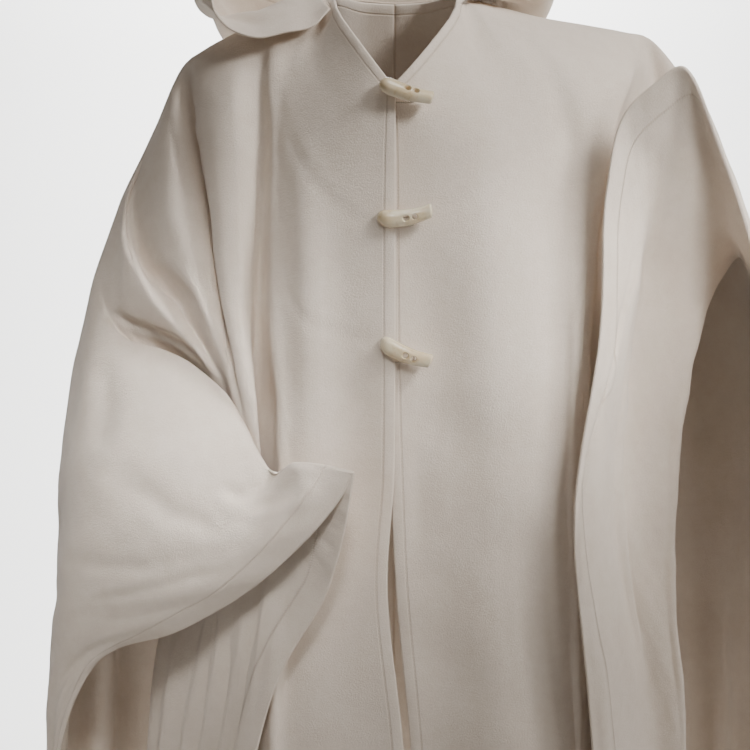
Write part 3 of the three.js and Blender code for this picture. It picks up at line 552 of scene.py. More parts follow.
def place_piece(piece: bpy.types.Object, material: bpy.types.Material,
                nodes: Sequence[str]) -> None:
    """Puts a piece into the scene in its finish, riding on the part in place of CAD nodes.

    Args:
        piece: the finished object.
        material: what it is made of.
        nodes: the CAD nodes it stands for.
    """
    bpy.context.scene.collection.objects.link(piece)
    piece.data.materials.append(material)
    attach(piece, "root")
    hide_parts(*nodes)
    log.info("%s: %d faces", piece.name, len(piece.data.polygons))


# ---------------------------------------------------------------- creases, as (across, down) on the flat cut

CREASES = {
    (Side.RIGHT, Panel.FRONT): (
        Crease("shoulder valley", -5.0, 9,
               ((235, -20), (228, 70), (225, 120), (225, 170), (215, 215), (220, 270))),
        Crease("lobe in the valley", 3.0, 7, ((215, 30), (216, 90), (212, 140))),
        Crease("roll's break", -2.2, 8, ((185, 110), (185, 200), (190, 295), (190, 367), (190, 432))),
        Crease("roll's pull", -1.5, 6, ((172, 180), (176, 280), (182, 380))),
        Crease("arm's soft edge", -3.2, 8, ((262, 45), (246, 155), (226, 205), (220, 252))),
        Crease("outer arm valley", -4.6, 10, ((315, 20), (350, 45), (362, 72), (360, 140))),
        Crease("arm's long edge", 3.0, 10, ((362, 95), (352, 190), (345, 275), (310, 332))),
        Crease("ridge to the elbow", 3.6, 8, ((312, 185), (286, 290), (278, 350))),
        Crease("elbow's dark crease", -4.6, 8, ((470, 60), (415, 260), (392, 380))),
        Crease("crease to the crook", -4.2, 7, ((218, 235), (235, 317), (268, 400))),
        Crease("light ridge by the edge", 2.4, 10,
               ((60, 110), (52, 195), (50, 275), (46, 356), (45, 430), (52, 560))),
        Crease("shallow trough", -2.2, 12, ((36, 120), (33, 230), (28, 300), (24, 410))),
        Crease("drag from the neck", -1.8, 14, ((80, 20), (92, 110), (100, 230))),
        Crease("lower panel trough", -4.2, 15, ((70, 540), (62, 700), (58, 960))),
        Crease("lower panel ridge", 2.5, 13, ((104, 480), (98, 640), (92, 900))),
        Crease("pull at the second toggle", -1.4, 7, ((8, 152), (36, 140), (70, 120))),
        Crease("pull at the third toggle", -1.4, 7, ((8, 282), (40, 270), (78, 262))),
    ),
    (Side.RIGHT, Panel.BACK): (
        Crease("forearm's top edge", 1.6, 15, ((690, 150), (735, 135), (790, 118))),
        Crease("forearm trough", -2.6, 19, ((575, 150), (610, 182), (660, 205), (735, 180))),
        Crease("cuff's tuck", -4.6, 9, ((744, 0), (738, 46), (722, 96), (696, 140))),
        Crease("cuff's rolled lip", 3.4, 13, ((786, 10), (790, 60), (796, 130))),
        Crease("forearm's second trough", -1.6, 17, ((560, 300), (620, 318), (700, 290))),
        Crease("elbow's inner crease", -3.8, 13, ((520, 40), (548, 96), (560, 160))),
        Crease("elbow's short crease", -2.2, 11, ((470, 60), (498, 92), (505, 150))),
        Crease("elbow drape", -4.5, 15, ((500, 210), (520, 420), (540, 700))),
        Crease("cuff's slack", -1.8, 15, ((640, 400), (690, 360), (760, 250))),
        Crease("blade's fold", -5.0, 20, ((98, 120), (112, 330), (118, 640), (112, 980))),
        Crease("shoulder's fold", -4.2, 16, ((205, 90), (214, 330), (208, 700))),
        Crease("shoulder's drag", 3.0, 18, ((120, 30), (190, 140), (262, 330))),
        Crease("hem fold", -4.5, 15, ((60, 500), (52, 760), (48, 980))),
        Crease("second hem fold", -4.0, 13, ((310, 470), (300, 730), (296, 980))),
        Crease("third hem fold", 3.5, 14, ((430, 520), (436, 780), (440, 980))),
    ),
    (Side.LEFT, Panel.FRONT): (
        Crease("trough from the neck", -3.2, 14,
               ((16, 120), (30, 255), (35, 350), (45, 451), (55, 537), (70, 738), (86, 980))),
        Crease("shadow by the edge", -2.6, 8, ((20, 400), (19, 470), (20, 530))),
        Crease("light ridge by the edge", 2.0, 8, ((32, 380), (28, 480), (27, 575))),
        Crease("shoulder's drag", -2.2, 13, ((96, 30), (115, 107), (134, 170))),
        Crease("chest's slack", -1.8, 17, ((84, 150), (100, 300), (92, 460))),
        Crease("panel's crisp fold", 3.0, 6, ((200, 90), (199, 300), (199, 520), (199, 780))),
        Crease("recess behind the panel", -4.5, 8, ((217, 80), (216, 300), (216, 520), (216, 800))),
        Crease("fold's bright side", 2.6, 15, ((138, 270), (146, 451), (150, 600))),
        Crease("lower fold", -3.4, 17, ((112, 600), (124, 760), (128, 980))),
        Crease("strip's groove", -5.2, 8, ((700, 260), (668, 345), (656, 499), (642, 594), (640, 700))),
        Crease("strip's edge", 3.6, 7, ((742, 250), (748, 378), (756, 480), (768, 560))),
        Crease("arm's inner fold", -4.5, 14, ((400, 90), (392, 240), (420, 420))),
        Crease("arm's lower fold", -4.0, 15, ((520, 260), (500, 500), (510, 800))),
        Crease("pull at the second toggle", -1.2, 7, ((24, 152), (60, 132), (96, 122))),
    ),
    (Side.LEFT, Panel.BACK): (
        Crease("blade's fold", -5.0, 20, ((92, 150), (88, 400), (84, 700), (90, 980))),
        Crease("shoulder's drag", 3.0, 17, ((130, 40), (210, 160), (300, 300))),
        Crease("shoulder's fold", -4.4, 16, ((176, 110), (170, 380), (176, 760))),
        Crease("arm's fold", -4.8, 16, ((318, 60), (326, 260), (318, 560))),
        Crease("elbow's crease", -5.0, 12, ((470, 60), (520, 110), (580, 120))),
        Crease("elbow's second crease", -3.6, 10, ((455, 130), (510, 190), (560, 210))),
        Crease("forearm's fold", -4.4, 15, ((610, 180), (600, 420), (612, 720))),
        Crease("wrist's fold", -3.6, 13, ((690, 100), (682, 330), (696, 640))),
        Crease("hem fold", -4.4, 15, ((258, 520), (262, 760), (266, 980))),
        Crease("second hem fold", 3.8, 14, ((400, 560), (404, 780), (408, 980))),
    ),
}

HOOD_CREASES = (
    Crease("right roll", -4.0, 12, ((20, 60), (60, 110), (110, 150))),
    Crease("right slump", -5.0, 14, ((90, 90), (140, 130), (190, 150))),
    Crease("middle slump", -5.5, 15, ((200, 110), (255, 150), (310, 120))),
    Crease("left slump", -4.0, 12, ((330, 80), (370, 110), (420, 100))),
    Crease("inner fold", 3.0, 10, ((120, 200), (220, 226), (330, 196))),
    Crease("right pull", -3.0, 9, ((60, 30), (76, 90), (70, 160))),
    Crease("left pull", -3.0, 9, ((350, 30), (340, 90), (352, 150))),
)


# ---------------------------------------------------------------- the cloth halves and the hood


@dataclass
class ClothHalf:
    """One half of the poncho, its front and back cut in one and folded at the shoulder.

    The cloth's sizes are in millimetres, the cut's in metres. half is half the cloth's thickness. band is the
    hem turned at the side and below, edge_band that at the front and neck, and band_rise what they add to
    half. Creases begin after the first of the still distances from the neck and the back seam and are full at
    the second; along the free edges edge_calm of them is lost. seam_gap is what the back stands off the centre
    line at its seam, and seam_turn the width over which it does so.
    """

    side: Side
    front: tuple[Fold, ...]
    back: tuple[Fold, ...]
    width: float = 830.0
    step: float = 7.0
    half: float = 1.1
    band: float = 30.0
    edge_band: float = 12.0
    band_rise: float = 0.5
    still: Place = (4.0, 40.0)
    edge_still: Place = (14.0, 2.0)
    edge_calm: float = 0.65
    waver_seed: float = 2.0
    seam_gap: float = 0.15
    seam_turn: float = 12.0
    cut_length: float = 1.86
    cut_area: float = 1.33

    def lines(self, length: float) -> Array:
        """Distances from 0 to a length: even steps, with three lines more at both ends."""
        even = np.linspace(0, length, round(length / self.step) + 1)
        return np.concatenate([EDGE_LINES, even[1:-1], length - EDGE_LINES[::-1]])

    def across(self) -> Array:
        """The columns' distances across, one of them at the neck's corner.

        Returns:
            The distances, from the front edge or the back seam outwards.
        """
        across = self.lines(self.width)
        across[np.abs(across - NECK_ACROSS).argmin()] = NECK_ACROSS
        return across

    def places(self) -> Array:
        """The rows' places between the levels."""
        return np.interp(self.lines(LEVEL_DOWN[-1]), LEVEL_DOWN, np.arange(len(LEVEL_DOWN)))

    def level_points(self, lines: tuple[Fold, ...], across: Array) -> Array:
        """The smooth lines through a panel's fold lines at every level, at these distances across."""
        places = np.interp(across, [line.across for line in lines], np.arange(len(lines)))
        return np.swapaxes(smooth_through(np.array([line.points() for line in lines]), places), 0, 1)

    def panel_grid(self, panel: Panel, across: Array, places: Array) -> Array:
        """A panel's outer face: smooth columns down its levels that run on over the shoulder fold.

        Args:
            panel: the front or the back.
            across: the columns.
            places: the rows.

        Returns:
            Points by column and row.
        """
        own, other = (self.front, self.back) if panel is Panel.FRONT else (self.back, self.front)
        levels = self.level_points(own, across)
        shoulder = (across >= NECK_ACROSS)[:, None]
        levels[0] = np.where(shoulder, self.level_points(self.front, across)[0], levels[0])
        beyond = np.where(shoulder, self.level_points(other, across)[1], 2 * levels[0] - levels[1])
        grid = smooth_through(np.concatenate([beyond[None], levels]), places + 1)
        return np.swapaxes(grid, 0, 1)

    def borders(self, grid: Array, neck: Array) -> Array:
        """The grid with fine lines along its borders, so that the cloth's edges can be round.

        Args:
            grid: points by column and row.
            neck: which columns begin at the neck edge.

        Returns:
            A copy of the grid.
        """
        fine = [self.half * share for share in FINE_LINES]
        rows = np.swapaxes(crowd_to_both(grid, fine), 0, 1)
        rows = crowd_to_border(rows[::-1], fine)[::-1]
        rows = np.where(neck[None, :, None], crowd_to_border(rows, fine), rows)
        return np.swapaxes(rows, 0, 1)

    def panel_marks(self, grid: Array, panel: Panel, across: Array) -> dict[str, Array]:
        """How far each point lies along the cloth from the edges, and along its column and its row.

        Args:
            grid: the panel's points by column and row.
            panel: the front or the back.
            across: the columns' places on the flat cut.

        Returns:
            The distances by the mark's name, in millimetres.
        """
        row_run, column_run = run_along(grid, 0), run_along(grid, 1)
        neck_point = grid[np.abs(across - NECK_ACROSS).argmin(), 0]
        from_neck = np.linalg.norm(grid - neck_point, axis=-1)
        neck = np.where((across < NECK_ACROSS)[:, None], column_run, from_neck)
        far = np.full(row_run.shape, FAR)
        return {
            "side": row_run[-1:] - row_run,
            "front": row_run if panel is Panel.FRONT else far,
            "seam": far if panel is Panel.FRONT else row_run,
            "hem": column_run[:, -1:] - column_run,
            "neck": neck,
            "run": column_run,
            "cross": row_run,
        }

    def relief(self, mark: dict[str, Array], panel: Panel, across: Array, places: Array) -> Array:
        """How far each point of a panel is raised by the felt's waver and the creases, less near its edges.

        Args:
            mark: the points' distances from the edges.
            panel: the front or the back.
            across: the columns' places on the flat cut.
            places: the rows' places between the levels.

        Returns:
            The height at each point.
        """
        level_down = np.interp(places, np.arange(len(LEVEL_DOWN)), LEVEL_DOWN)
        across, down = np.meshgrid(across, level_down, indexing="ij")
        turned = down if panel is Panel.FRONT else -down
        waver = felt_waver(across, turned, self.side.value + self.waver_seed)
        calm = ease(np.minimum(mark["neck"], mark["seam"]), *self.still)
        calm = calm * (1 - self.edge_calm * ease(np.minimum(mark["front"], mark["side"]), *self.edge_still))
        return raise_by(CREASES[self.side, panel], across, down, waver) * calm

    def joined_quads(self, shape: tuple[int, int], neck: Array) -> Array:
        """Both panels' quads, facing out, the back's first row taken from the front's beyond the neck edge.

        Args:
            shape: a panel's columns and rows.
            neck: which columns begin at the neck edge.

        Returns:
            The corners, as vertex numbers of the front and then the back.
        """
        front = np.arange(shape[0] * shape[1]).reshape(shape)
        back = front + front.size
        back[~neck, 0] = front[~neck, 0]
        outward = -self.side.value
        return np.concatenate([grid_quads(front)[:, ::outward], grid_quads(back)[:, ::-1][:, ::outward]])

    def thickness(self, mark: dict[str, Array]) -> Array:
        """Half the cloth's thickness: more in the turned bands, a quarter circle down to the borders.

        Args:
            mark: the points' distances from the edges.

        Returns:
            The half thickness at each point.
        """
        wide = turned_band(np.minimum(mark["side"], mark["hem"]), self.band)
        narrow = turned_band(np.minimum(mark["front"], mark["neck"]), self.edge_band)
        full = self.half + self.band_rise * np.maximum(wide, narrow)
        borders = [mark[key] for key in ("side", "front", "seam", "hem", "neck")]
        return rounded(full, np.minimum.reduce(borders))

    def build(self, material: bpy.types.Material) -> bpy.types.Object:
        """Makes the half: both panels on one mesh, raised by the creases, as a shell.

        Args:
            material: the wool.

        Returns:
            The object.
        """
        across, places = self.across(), self.places()
        neck = across < NECK_ACROSS
        grids, marks, relief = [], [], []
        for panel in Panel:
            grid = self.borders(self.panel_grid(panel, across, places), neck)
            mark = self.panel_marks(grid, panel, across)
            if panel is Panel.BACK:
                grid[:, :, 0] += self.side.value * self.seam_gap * ease(mark["seam"], self.seam_turn, 0.0)
            grids.append(grid)
            marks.append(mark)
            relief.append(self.relief(mark, panel, across, places))
        used, quads = np.unique(self.joined_quads(grids[0].shape[:2], neck), return_inverse=True)
        outer = np.concatenate([grid.reshape(-1, 3) for grid in grids])[used]
        raised = np.concatenate([r.ravel() for r in relief])[used]
        mark = {key: np.concatenate([m[key].ravel() for m in marks])[used] for key in marks[0]}
        side = self.side.name.lower()
        piece = Shell(outer, quads.reshape(-1, 4), raised, self.thickness(mark), mark).build(f"cloth_{side}")
        place_piece(piece, material, [f"{panel.value}_{side}" for panel in Panel])
        return piece


@dataclass
class Hood:
    """The lying hood: sections from the neck seam over the hollow to its rim, with a turned band at the rim.

    Sizes are in millimetres, the cut's in metres. Creases are full at the second of the still distances.
    """

    along_steps: int = 110
    over_steps: int = 64
    half: float = 1.1
    band: float = 18.0
    band_lap: float = 2.0
    band_rise: float = 0.7
    seam_still: Place = (6.0, 40.0)
    rim_still: Place = (0.0, 30.0)
    waver_seed: float = 5.0
    cut: Place = (0.46, 0.38)

    def build(self, material: bpy.types.Material) -> bpy.types.Object:
        """Makes the hood: a smooth grid through its sections, its creases, then the shell.

        Args:
            material: the wool.

        Returns:
            The object.
        """
        sections = np.array([section.points() for section in HOOD])
        along = np.linspace(0, len(sections) - 1, self.along_steps + 1)
        over = np.linspace(0, sections.shape[1] - 1, self.over_steps + 1)
        grid = np.swapaxes(smooth_through(np.swapaxes(smooth_through(sections, along), 0, 1), over), 0, 1)
        fine = [self.half * share for share in FINE_LINES]
        grid = np.swapaxes(crowd_to_both(np.swapaxes(crowd_to_both(grid, fine), 0, 1), fine), 0, 1)
        cross, run = run_along(grid, 0), run_along(grid, 1)
        rim, ends = run[:, -1:] - run, np.minimum(cross, cross[-1:] - cross)
        far = np.full(rim.shape, FAR)
        raised = raise_by(HOOD_CREASES, cross, run, felt_waver(cross, run, self.waver_seed))
        raised = raised * ease(run, *self.seam_still) * ease(rim, *self.rim_still)
        full = self.half + self.band_rise * turned_band(rim, self.band, self.band_lap)
        half_thickness = rounded(full, np.minimum.reduce([run, rim, ends]))
        mark = {"side": far, "front": far, "seam": run, "hem": rim, "neck": far, "run": run, "cross": cross}
        mark = {key: value.ravel() for key, value in mark.items()}
        quads = grid_quads(np.arange(rim.size).reshape(rim.shape))
        shell = Shell(grid.reshape(-1, 3), quads, raised.ravel(), half_thickness.ravel(), mark)
        piece = shell.build("hood_cloth")
        place_piece(piece, material, ["hood"])
        return piece


# ---------------------------------------------------------------- shader expressions and finishes


class Value:
    """A shader socket that takes part in expressions; each operator adds a Math node."""

    def __init__(self, shader: "Shader", socket: Any) -> None:
        """Wraps a socket of a shader's node tree."""
        self.shader = shader
        self.socket = socket

    def math(self, operation: str, *others: Any) -> "Value":
        """The result of a Math node on this value and the others."""
        sockets = {0: self, **dict(enumerate(others, 1))}
        return self.shader.node("ShaderNodeMath", {"operation": operation}, sockets)

    def reflected(self, operation: str, other: Any) -> "Value":
        """The result of a Math node whose first input is the other value."""
        return self.shader.node("ShaderNodeMath", {"operation": operation}, {0: other, 1: self})

    def __add__(self, other: Any) -> "Value":
        """This plus the other."""
        return self.math("ADD", other)

    __radd__ = __add__

    def __sub__(self, other: Any) -> "Value":
        """This minus the other."""
        return self.math("SUBTRACT", other)

    def __rsub__(self, other: Any) -> "Value":
        """The other minus this."""
        return self.reflected("SUBTRACT", other)

    def __mul__(self, other: Any) -> "Value":
        """This times the other."""
        return self.math("MULTIPLY", other)

    __rmul__ = __mul__

    def smallest(self, other: Any) -> "Value":
        """The smaller of this and the other."""
        return self.math("MINIMUM", other)

    def largest(self, other: Any) -> "Value":
        """The larger of this and the other."""
        return self.math("MAXIMUM", other)

    def wave(self, length: float) -> "Value":
        """A sine of this value that repeats at each length, from -1 to 1."""
        return (self * (2 * math.pi / length)).math("SINE")

    def ramp(self, start: float, end: float, low: float = 0.0, high: float = 1.0) -> "Value":
        """This value's smooth way from low at start to high at end."""
        sockets = {"Value": self, "From Min": start, "From Max": end, "To Min": low, "To Max": high}
        settings = {"interpolation_type": "SMOOTHSTEP", "clamp": True}
        return self.shader.node("ShaderNodeMapRange", settings, sockets)

    def band(self, middle: float, half_width: float) -> "Value":
        """1 where this value is at the middle, falling smoothly to 0 at half_width from it."""
        return (self - middle).math("ABSOLUTE").ramp(half_width, 0.0)


class Shader:
    """A material's node tree with its Principled shader, and the one way to add nodes to it."""

    def __init__(self, name: str, **uniform: Any) -> None:
        """Makes the material and sets what is the same all over it on the shader's own sockets.

        Args:
            name: the material's name.
            uniform: socket values, their names with underscores for spaces.
        """
        self.material = bpy.data.materials.new(name)
        self.material.use_nodes = True
        self.tree = self.material.node_tree
        self.principled = self.tree.nodes["Principled BSDF"]
        for key, value in uniform.items():
            self.principled.inputs[key.replace("_", " ")].default_value = value

    def node(self, kind: str, settings: dict[str, Any], sockets: dict[Any, Any], output: Any = 0) -> Value:
        """Adds a node: its settings first, then its sockets' values or links.

        Args:
            kind: the node's type.
            settings: its properties.
            sockets: by name or number, a number, colour, vector or Value.
            output: which of its outputs to hand back.

        Returns:
            The output.
        """
        node = self.tree.nodes.new(kind)
        for key, value in settings.items():
            setattr(node, key, value)
        for key, value in sockets.items():
            if isinstance(value, Value):
                self.tree.links.new(value.socket, node.inputs[key])
            else:
                node.inputs[key].default_value = value
        return Value(self, node.outputs[output])

    def mark(self, name: str) -> Value:
        """A mesh attribute's value."""
        return self.node("ShaderNodeAttribute", {"attribute_name": name}, {}, "Fac")

    def place(self) -> Value:
        """The point on the object, in metres."""
        return self.node("ShaderNodeTexCoord", {}, {}, "Object")

    def noise(self, scale: float, detail: float = 2.0, rough: float = 0.5) -> Value:
        """Noise between 0 and 1; scale is in lumps a metre."""
        return self.node("ShaderNodeTexNoise", {}, {"Vector": self.place(), "Scale": scale, "Detail": detail,
                                                    "Roughness": rough}, "Fac")

    def blend(self, share: Any, first: Any, second: Any, kind: str = "MIX") -> Value:
        """The mix of two colours: the first where share is 0, the second where it is 1."""
        sockets = {0: share, 6: first, 7: second}
        return self.node("ShaderNodeMix", {"data_type": "RGBA", "blend_type": kind}, sockets, 2)

    def feed(self, name: str, value: Value) -> None:
        """Links a value to one of the shader's sockets."""
        self.tree.links.new(value.socket, self.principled.inputs[name])

    def raise_surface(self, layers: Sequence[tuple[Value, float]], strength: float = 1.0) -> None:
        """Bumps the surface by layers.

        Args:
            layers: for each a height from 0 to 1, and how far that is in metres.
            strength: the share of the layers' height that is used.
        """
        normal = None
        for height, distance in layers:
            sockets = {"Height": height, "Distance": distance, "Strength": strength}
            if normal is not None:
                sockets["Normal"] = normal
            normal = self.node("ShaderNodeBump", {}, sockets)
        self.feed("Normal", normal)


def colour(red: float, green: float, blue: float) -> tuple[float, float, float, float]:
    """A colour for a socket, from its linear parts."""
    return (red, green, blue, 1.0)


@dataclass(frozen=True)
class WoolFelt:
    """Thick felted wool: cloudy cream, a short nap, and its bands sewn down with lines of small stitches.

    How far in the lines lie, half how wide they are and how long a stitch is are in millimetres. cloud,
    blotch, nap and fibre are noises from coarse to fine, as lumps a metre, detail and roughness.
    """

    light: Point = (0.85, 0.745, 0.635)
    deep: Point = (0.775, 0.660, 0.545)
    thread: Point = (0.66, 0.58, 0.49)
    band_line: float = 28.5
    edge_line: float = 11.0
    groove_half: float = 1.7
    stitch: float = 3.4
    thread_half: float = 0.8
    overlock_line: float = 29.0
    overlock_half: float = 3.0
    overlock_stitch: float = 2.6
    seam_half: float = 2.2
    cloud: Point = (16.0, 3.0, 0.55)
    blotch: Point = (90.0, 3.0, 0.6)
    nap: Point = (620.0, 4.0, 0.65)
    fibre: Point = (2300.0, 3.0, 0.7)

    def sewn_line(self, distance: Value, at: float, along: Value) -> tuple[Value, Value]:
        """A line of stitches: a soft groove along it, and in it a short thread for each stitch.

        Args:
            distance: how far from the edge each point lies.
            at: how far from it the line lies.
            along: the distance along the line.

        Returns:
            The groove and the stitches, each from 0 to 1.
        """
        dash = along.wave(self.stitch).ramp(-0.55, -0.15)
        return distance.band(at, self.groove_half), distance.band(at, self.thread_half) * dash

    def along_edge(self, first: Value, second: Value, run: Value, cross: Value) -> Value:
        """The distance along the nearer edge: down the column at the first, along the row at the second."""
        return cross + (run - cross) * (second - first).ramp(-0.5, 0.5)

    def material(self) -> bpy.types.Material:
        """Makes the material.

        Returns:
            The material.
        """
        shader = Shader("cream_wool_felt", Roughness=0.93, Sheen_Weight=0.28, Sheen_Roughness=0.45,
                        Specular_IOR_Level=0.2)
        side, front, hem, neck = (shader.mark(name) for name in ("side", "front", "hem", "neck"))
        seam, run, cross, wrong = (shader.mark(name) for name in ("seam", "run", "cross", "wrong_side"))
        wide, along_wide = side.smallest(hem), self.along_edge(side, hem, run, cross)
        wide_groove, wide_stitch = self.sewn_line(wide, self.band_line, along_wide)
        narrow_groove, narrow_stitch = self.sewn_line(front.smallest(neck), self.edge_line,
                                                      self.along_edge(front, neck, run, cross))
        zigzag = along_wide.wave(self.overlock_stitch).ramp(-0.2, 0.5)
        overlock = wide.band(self.overlock_line, self.overlock_half) * zigzag * wrong
        # The grooves' mask: it sinks the bump, and below it paints shade into the base colour.
        groove = wide_groove.largest(narrow_groove)
        stitch = wide_stitch.largest(narrow_stitch) * (1 - wrong)
        seam_line = seam.ramp(self.seam_half, 0.2)
        noises = (self.cloud, self.blotch, self.nap, self.fibre)
        cloud, blotch, nap, fibre = (shader.noise(*each) for each in noises)
        tone = cloud.ramp(0.3, 0.72) * 0.32 + blotch.ramp(0.3, 0.7) * 0.36 + nap.ramp(0.32, 0.7) * 0.32
        base = shader.blend(tone, colour(*self.deep), colour(*self.light))
        # Painted shade: the cloth is darkened in the grooves along the sewn lines; the darkening along the
        # seam is its dark joint.
        base = shader.blend(groove * 0.3 + seam_line * 0.35, base, colour(*self.deep), "MULTIPLY")
        base = shader.blend(stitch * 0.65, base, colour(*self.thread))
        base = shader.blend(overlock * 0.5, base, colour(*self.thread))
        shader.feed("Base Color", base)
        shader.raise_surface((
            (1 - groove * 0.8 - seam_line * 0.7 + stitch * 0.55 + overlock * 0.6, 0.0011),
            (blotch, 0.0005),
            (nap, 0.0009),
            (fibre, 0.0004),
        ), 0.75)
        return shader.material


@dataclass(frozen=True)
class CastResin:
    """Polished cream resin with a pearly cloud in it, yellower here and there."""

    pearl: Point = (0.76, 0.67, 0.50)
    cream: Point = (0.68, 0.55, 0.35)
    streak: Point = (0.48, 0.32, 0.14)

    def material(self) -> bpy.types.Material:
        """Makes the material.

        Returns:
            The material.
        """
        shader = Shader("cream_resin", Roughness=0.18, IOR=1.54, Coat_Weight=0.8, Coat_Roughness=0.06,
                        Subsurface_Weight=0.18, Subsurface_Scale=0.004)
        shader.principled.inputs["Subsurface Radius"].default_value = (1.0, 0.7, 0.4)
        warp = shader.noise(45, 2)
        sockets = {"Vector": shader.place(), "Scale": 120.0, "Detail": 3.0, "Distortion": 1.4}
        marble = shader.node("ShaderNodeTexNoise", {}, sockets, "Fac")
        base = shader.blend(warp.ramp(0.35, 0.65), colour(*self.pearl), colour(*self.cream))
        base = shader.blend(marble.ramp(0.52, 0.72) * 0.3, base, colour(*self.streak))
        shader.feed("Base Color", base)
        shader.feed("Roughness", marble.ramp(0.3, 0.7, 0.14, 0.24))
        shader.raise_surface(((warp, 0.0006),), 0.5)
        return shader.material


@dataclass(frozen=True)
class TwistedCord:
    """Thin cream cord, matt, with fine fibres."""

    tint: Point = (0.62, 0.54, 0.43)
    shade: Point = (0.40, 0.33, 0.25)

    def material(self) -> bpy.types.Material:
        """Makes the material.

        Returns:
            The material.
        """
        shader = Shader("cream_cord", Roughness=0.8, Sheen_Weight=0.2)
        fibre = shader.noise(1900, 3, 0.6)
        shader.feed("Base Color", shader.blend(fibre.ramp(0.3, 0.7), colour(*self.shade), colour(*self.tint)))
        shader.raise_surface(((fibre, 0.0003),), 0.6)
        return shader.material


# ---------------------------------------------------------------- toggles and their cords


@dataclass(frozen=True)
class ToggleSeat:
    """How one toggle lies, in degrees: its left end raised by tilt, and its front turned up by roll."""

    number: int
    tilt: float
    roll: float


TOGGLE_SEATS = (ToggleSeat(1, -16, 50), ToggleSeat(2, 8, 0), ToggleSeat(3, -22, 0))


def move_to_node(mesh: bpy.types.Mesh, node: str, turn: Array) -> None:
    """Turns a mesh, and moves the middle of its box to the middle of a CAD node's box.

    Args:
        mesh: the mesh, changed in place.
        node: the CAD node's name.
        turn: the rotation matrix.
    """
    points = np.empty(len(mesh.vertices) * 3)
    mesh.vertices.foreach_get("co", points)
    points = points.reshape(-1, 3) @ turn.T
    low, high = (np.array(corner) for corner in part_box(node))
    points = points + (low + high) / 2 - (points.min(axis=0) + points.max(axis=0)) / 2
    mesh.vertices.foreach_set("co", points.ravel())
    mesh.update()


